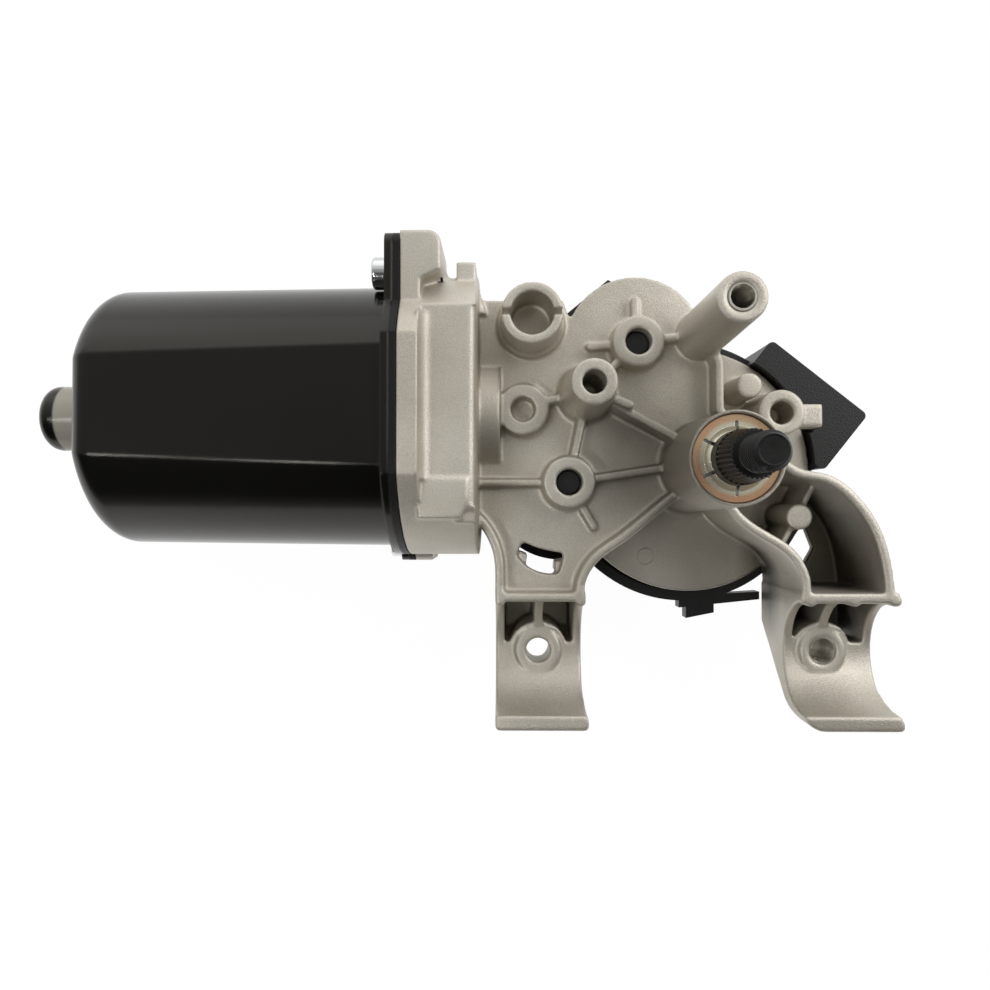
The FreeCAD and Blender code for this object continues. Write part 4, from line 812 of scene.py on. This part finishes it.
class WIPER_OT_drive(bpy.types.Operator):
    """The gear train and its pins."""
    bl_idname = "wiper.drive"
    bl_label = "Gear train"

    def execute(self, context):
        nylon = finish_material(
            "gear_nylon", ((0.72, 0.69, 0.60, 1.0), (0.64, 0.60, 0.50, 1.0)), 0.42,
            grain=0.0006, bump=0.08, edge=0.0002)
        steel = finish_material(
            "pinion_steel", ((0.50, 0.50, 0.50, 1.0), (0.36, 0.36, 0.37, 1.0)), 0.3, metallic=1.0,
            grain=0.0003, bump=0.08, edge=0.0002)
        dark = finish_material(
            "pin_steel", ((0.02, 0.02, 0.021, 1.0), (0.035, 0.035, 0.035, 1.0)), 0.4, metallic=0.6,
            grain=0.0003, bump=0.12, edge=0.0002)
        for node in ("counter_wheel_upper", "counter_wheel_lower", "final_gear", "gear_washer", "thrust_pad"):
            dress(node, nylon)
        for node in ("counter_pinion_upper", "counter_pinion_lower", "armature_shaft",
                     "bearing_outer_race", "bearing_inner_race"):
            dress(node, steel)
        for node in ("counter_pin_upper", "counter_pin_lower"):
            dress(node, dark)
        return {"FINISHED"}


class WIPER_OT_armature(bpy.types.Operator):
    """The armature, magnets, brushes and park switch."""
    bl_idname = "wiper.armature"
    bl_label = "Armature and brushes"

    def execute(self, context):
        iron = finish_material(
            "core_iron", ((0.22, 0.22, 0.23, 1.0), (0.30, 0.29, 0.28, 1.0)), 0.45, metallic=1.0,
            grain=0.0005, bump=0.3, edge=0.0002)
        copper = finish_material(
            "copper_wire", ((0.62, 0.25, 0.12, 1.0), (0.48, 0.17, 0.08, 1.0)), 0.32, metallic=1.0,
            grain=0.0008, bump=0.6, edge=0.0003)
        ferrite = finish_material(
            "ferrite", ((0.05, 0.05, 0.055, 1.0), (0.08, 0.08, 0.08, 1.0)), 0.6,
            grain=0.0004, bump=0.2, edge=0.0003)
        board = finish_material(
            "brown_board", ((0.16, 0.07, 0.03, 1.0), (0.22, 0.11, 0.05, 1.0)), 0.5,
            grain=0.0005, bump=0.15, edge=0.0002)
        carbon = finish_material(
            "carbon", ((0.03, 0.03, 0.03, 1.0), (0.06, 0.055, 0.05, 1.0)), 0.6,
            grain=0.0003, bump=0.25, edge=0.0002)
        for node, material in (("armature_core", iron), ("armature_windings", copper), ("commutator", copper),
                               ("park_ring", copper), ("park_contacts", copper), ("connector_blades", copper),
                               ("magnet_upper", ferrite), ("magnet_lower", ferrite), ("brush_card", board),
                               ("park_board", board), ("carbon_brushes", carbon)):
            dress(node, material)
        return {"FINISHED"}


class WIPER_OT_cover(bpy.types.Operator):
    """The moulded back cover and connector."""
    bl_idname = "wiper.cover"
    bl_label = "Cover and connector"

    def execute(self, context):
        plastic = finish_material(
            "moulded_plastic", ((0.011, 0.011, 0.011, 1.0), (0.016, 0.016, 0.0155, 1.0)), 0.44,
            grain=0.0005, patch=0.03, bump=0.2, edge=0.0004, specular=0.4)
        rubber = finish_material(
            "gasket_rubber", ((0.02, 0.02, 0.02, 1.0), (0.03, 0.03, 0.03, 1.0)), 0.6, bump=0.2)
        zinc = finish_material(
            "screw_zinc", ((0.62, 0.62, 0.60, 1.0), (0.52, 0.52, 0.50, 1.0)), 0.28, metallic=1.0,
            grain=0.0004, bump=0.1)
        dress("back_cover", plastic)
        dress("connector_block", plastic)
        dress("cover_gasket", rubber)
        dress("cover_screws", zinc)
        return {"FINISHED"}


def area_lamp(name, place, target, width, height, power):
    """A soft lamp that points at a target, its width along X."""
    data = bpy.data.lights.new(name, "AREA")
    data.shape = "RECTANGLE"
    data.size = width
    data.size_y = height
    data.energy = power
    lamp = linked(name, data)
    lamp.location = place
    lamp.rotation_mode = "QUATERNION"
    lamp.rotation_quaternion = (Vector(target) - Vector(place)).to_track_quat("-Z", "Y")


def ramp_node(tree, value, stops):
    """A smooth brightness ramp from stops of place and level."""
    ramp = tree.nodes.new("ShaderNodeValToRGB")
    ramp.color_ramp.interpolation = "EASE"
    elements = ramp.color_ramp.elements
    while len(elements) < len(stops):
        elements.new(0.5)
    for element, (place, level) in zip(elements, stops):
        element.position = place
        element.color = (level, level, level, 1.0)
    tree.links.new(value, ramp.inputs["Fac"])
    return ramp.outputs["Color"]


def background_rays(tree, mirrored=False):
    """One for the rays that should meet a white background, with or without the mirrored ones."""
    path = tree.nodes.new("ShaderNodeLightPath")
    seen = math_node(tree, "MAXIMUM", path.outputs["Is Camera Ray"], path.outputs["Is Transmission Ray"])
    if mirrored:
        seen = math_node(tree, "MAXIMUM", seen, path.outputs["Is Glossy Ray"])
    return seen


def studio_world(studio):
    """A white horizon under a soft ceiling that is brighter at the back, and white to the camera."""
    world = bpy.data.worlds.new("studio")
    bpy.context.scene.world = world
    world.use_nodes = True
    tree = world.node_tree
    back = tree.nodes["Background"]
    back.inputs["Color"].default_value = WHITE
    way = split_node(tree, tree.nodes.new("ShaderNodeTexCoord").outputs["Generated"])
    ceiling = ramp_node(tree, map_node(tree, way.outputs["Y"], -1.0, 1.0), CEILING_STOPS)
    level = tree.nodes.new("ShaderNodeMix")
    level.data_type = "FLOAT"
    feed(tree, level.inputs["Factor"], map_node(tree, way.outputs["Z"], *HORIZON_Z, 1.0, 0.0))
    feed(tree, level.inputs["A"], math_node(tree, "MULTIPLY", ceiling, studio.ceiling))
    feed(tree, level.inputs["B"], map_node(tree, way.outputs["Y"], *HORIZON_Y, *HORIZON_LEVELS))
    strength = math_node(tree, "MAXIMUM", level.outputs["Result"], background_rays(tree))
    tree.links.new(strength, back.inputs["Strength"])


def white_floor(level, share):
    """A floor that keeps the object's shadow and is white to the camera."""
    mesh = bpy.data.meshes.new("floor")
    corners = [(-FLOOR_HALF, -FLOOR_HALF, level), (FLOOR_HALF, -FLOOR_HALF, level),
               (FLOOR_HALF, FLOOR_HALF, level), (-FLOOR_HALF, FLOOR_HALF, level)]
    mesh.from_pydata(corners, [], [(0, 1, 2, 3)])
    floor = linked("floor", mesh)
    material = bpy.data.materials.new("floor")
    material.use_nodes = True
    tree = material.node_tree
    shader = tree.nodes["Principled BSDF"]
    shader.inputs["Base Color"].default_value = FLOOR_COLOUR
    shader.inputs["Roughness"].default_value = FLOOR_ROUGHNESS
    shader.inputs["Specular IOR Level"].default_value = 0.0
    glow = tree.nodes.new("ShaderNodeEmission")
    glow.inputs["Color"].default_value = WHITE
    glow.inputs["Strength"].default_value = FLOOR_STRENGTH
    amount = math_node(tree, "MULTIPLY", background_rays(tree, mirrored=True), share)
    mix = tree.nodes.new("ShaderNodeMixShader")
    tree.links.new(amount, mix.inputs["Fac"])
    tree.links.new(shader.outputs["BSDF"], mix.inputs[1])
    tree.links.new(glow.outputs["Emission"], mix.inputs[2])
    tree.links.new(mix.outputs["Shader"], tree.nodes["Material Output"].inputs["Surface"])
    mesh.materials.append(material)
    floor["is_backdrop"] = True


class WIPER_OT_stage(bpy.types.Operator):
    """Floor, lamps and camera."""
    bl_idname = "wiper.stage"
    bl_label = "Stage"

    def execute(self, context):
        studio = context.scene.wiper_studio
        low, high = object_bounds()
        middle = (low + high) / 2
        studio_world(studio)
        white_floor(low.z - FLOOR_GAP, studio.floor_glow)
        key_place = (middle.x + KEY_OFFSET[0], middle.y + KEY_OFFSET[1], KEY_HEIGHT)
        area_lamp("key", key_place, middle, KEY_SIDE, KEY_SIDE, studio.key_power)
        area_lamp("strip", STRIP_PLACE, STRIP_TARGET, *STRIP_SIZE, studio.strip_power)
        data = bpy.data.cameras.new("camera")
        data.lens = studio.lens
        data.sensor_width = 36.0
        data.clip_start = 0.01
        camera = linked("camera", data)
        camera.location = studio.camera
        camera.rotation_mode = "QUATERNION"
        turn = Matrix.Rotation(studio.yaw, 3, "Y") @ Matrix.Rotation(studio.pitch, 3, "X")
        camera.rotation_quaternion = turn.to_quaternion()
        context.scene.camera = camera
        context.scene.view_settings.view_transform = "Standard"
        return {"FINISHED"}


class WIPER_PT_panel(bpy.types.Panel):
    """Buttons for each group of pieces."""
    bl_idname = "WIPER_PT_panel"
    bl_label = "Wiper motor"
    bl_space_type = "VIEW_3D"
    bl_region_type = "UI"
    bl_category = "Wiper motor"

    def draw(self, context):
        for operator in OPERATORS:
            self.layout.operator(operator.bl_idname)


OPERATORS = (WIPER_OT_casting, WIPER_OT_case, WIPER_OT_output, WIPER_OT_drive, WIPER_OT_armature,
             WIPER_OT_cover, WIPER_OT_stage)
SETTINGS = (("wiper_cast", CastFinish), ("wiper_cast_sizes", CastSizes), ("wiper_case", CaseFinish),
            ("wiper_shaft", ShaftSizes), ("wiper_studio", StudioSettings))


def register():
    """Registers the settings, the operators and the panel."""
    for name, group in SETTINGS:
        bpy.utils.register_class(group)
        setattr(bpy.types.Scene, name, bpy.props.PointerProperty(type=group))
    for operator in OPERATORS:
        bpy.utils.register_class(operator)
    bpy.utils.register_class(WIPER_PT_panel)


def unregister():
    """Takes everything back out."""
    bpy.utils.unregister_class(WIPER_PT_panel)
    for operator in reversed(OPERATORS):
        bpy.utils.unregister_class(operator)
    for name, group in reversed(SETTINGS):
        delattr(bpy.types.Scene, name)
        bpy.utils.unregister_class(group)


def main():
    """Dresses the whole motor."""
    register()
    bpy.ops.wiper.casting()
    bpy.ops.wiper.case()
    bpy.ops.wiper.output()
    bpy.ops.wiper.drive()
    bpy.ops.wiper.armature()
    bpy.ops.wiper.cover()
    bpy.ops.wiper.stage()


if __name__ == "__main__":
    main()
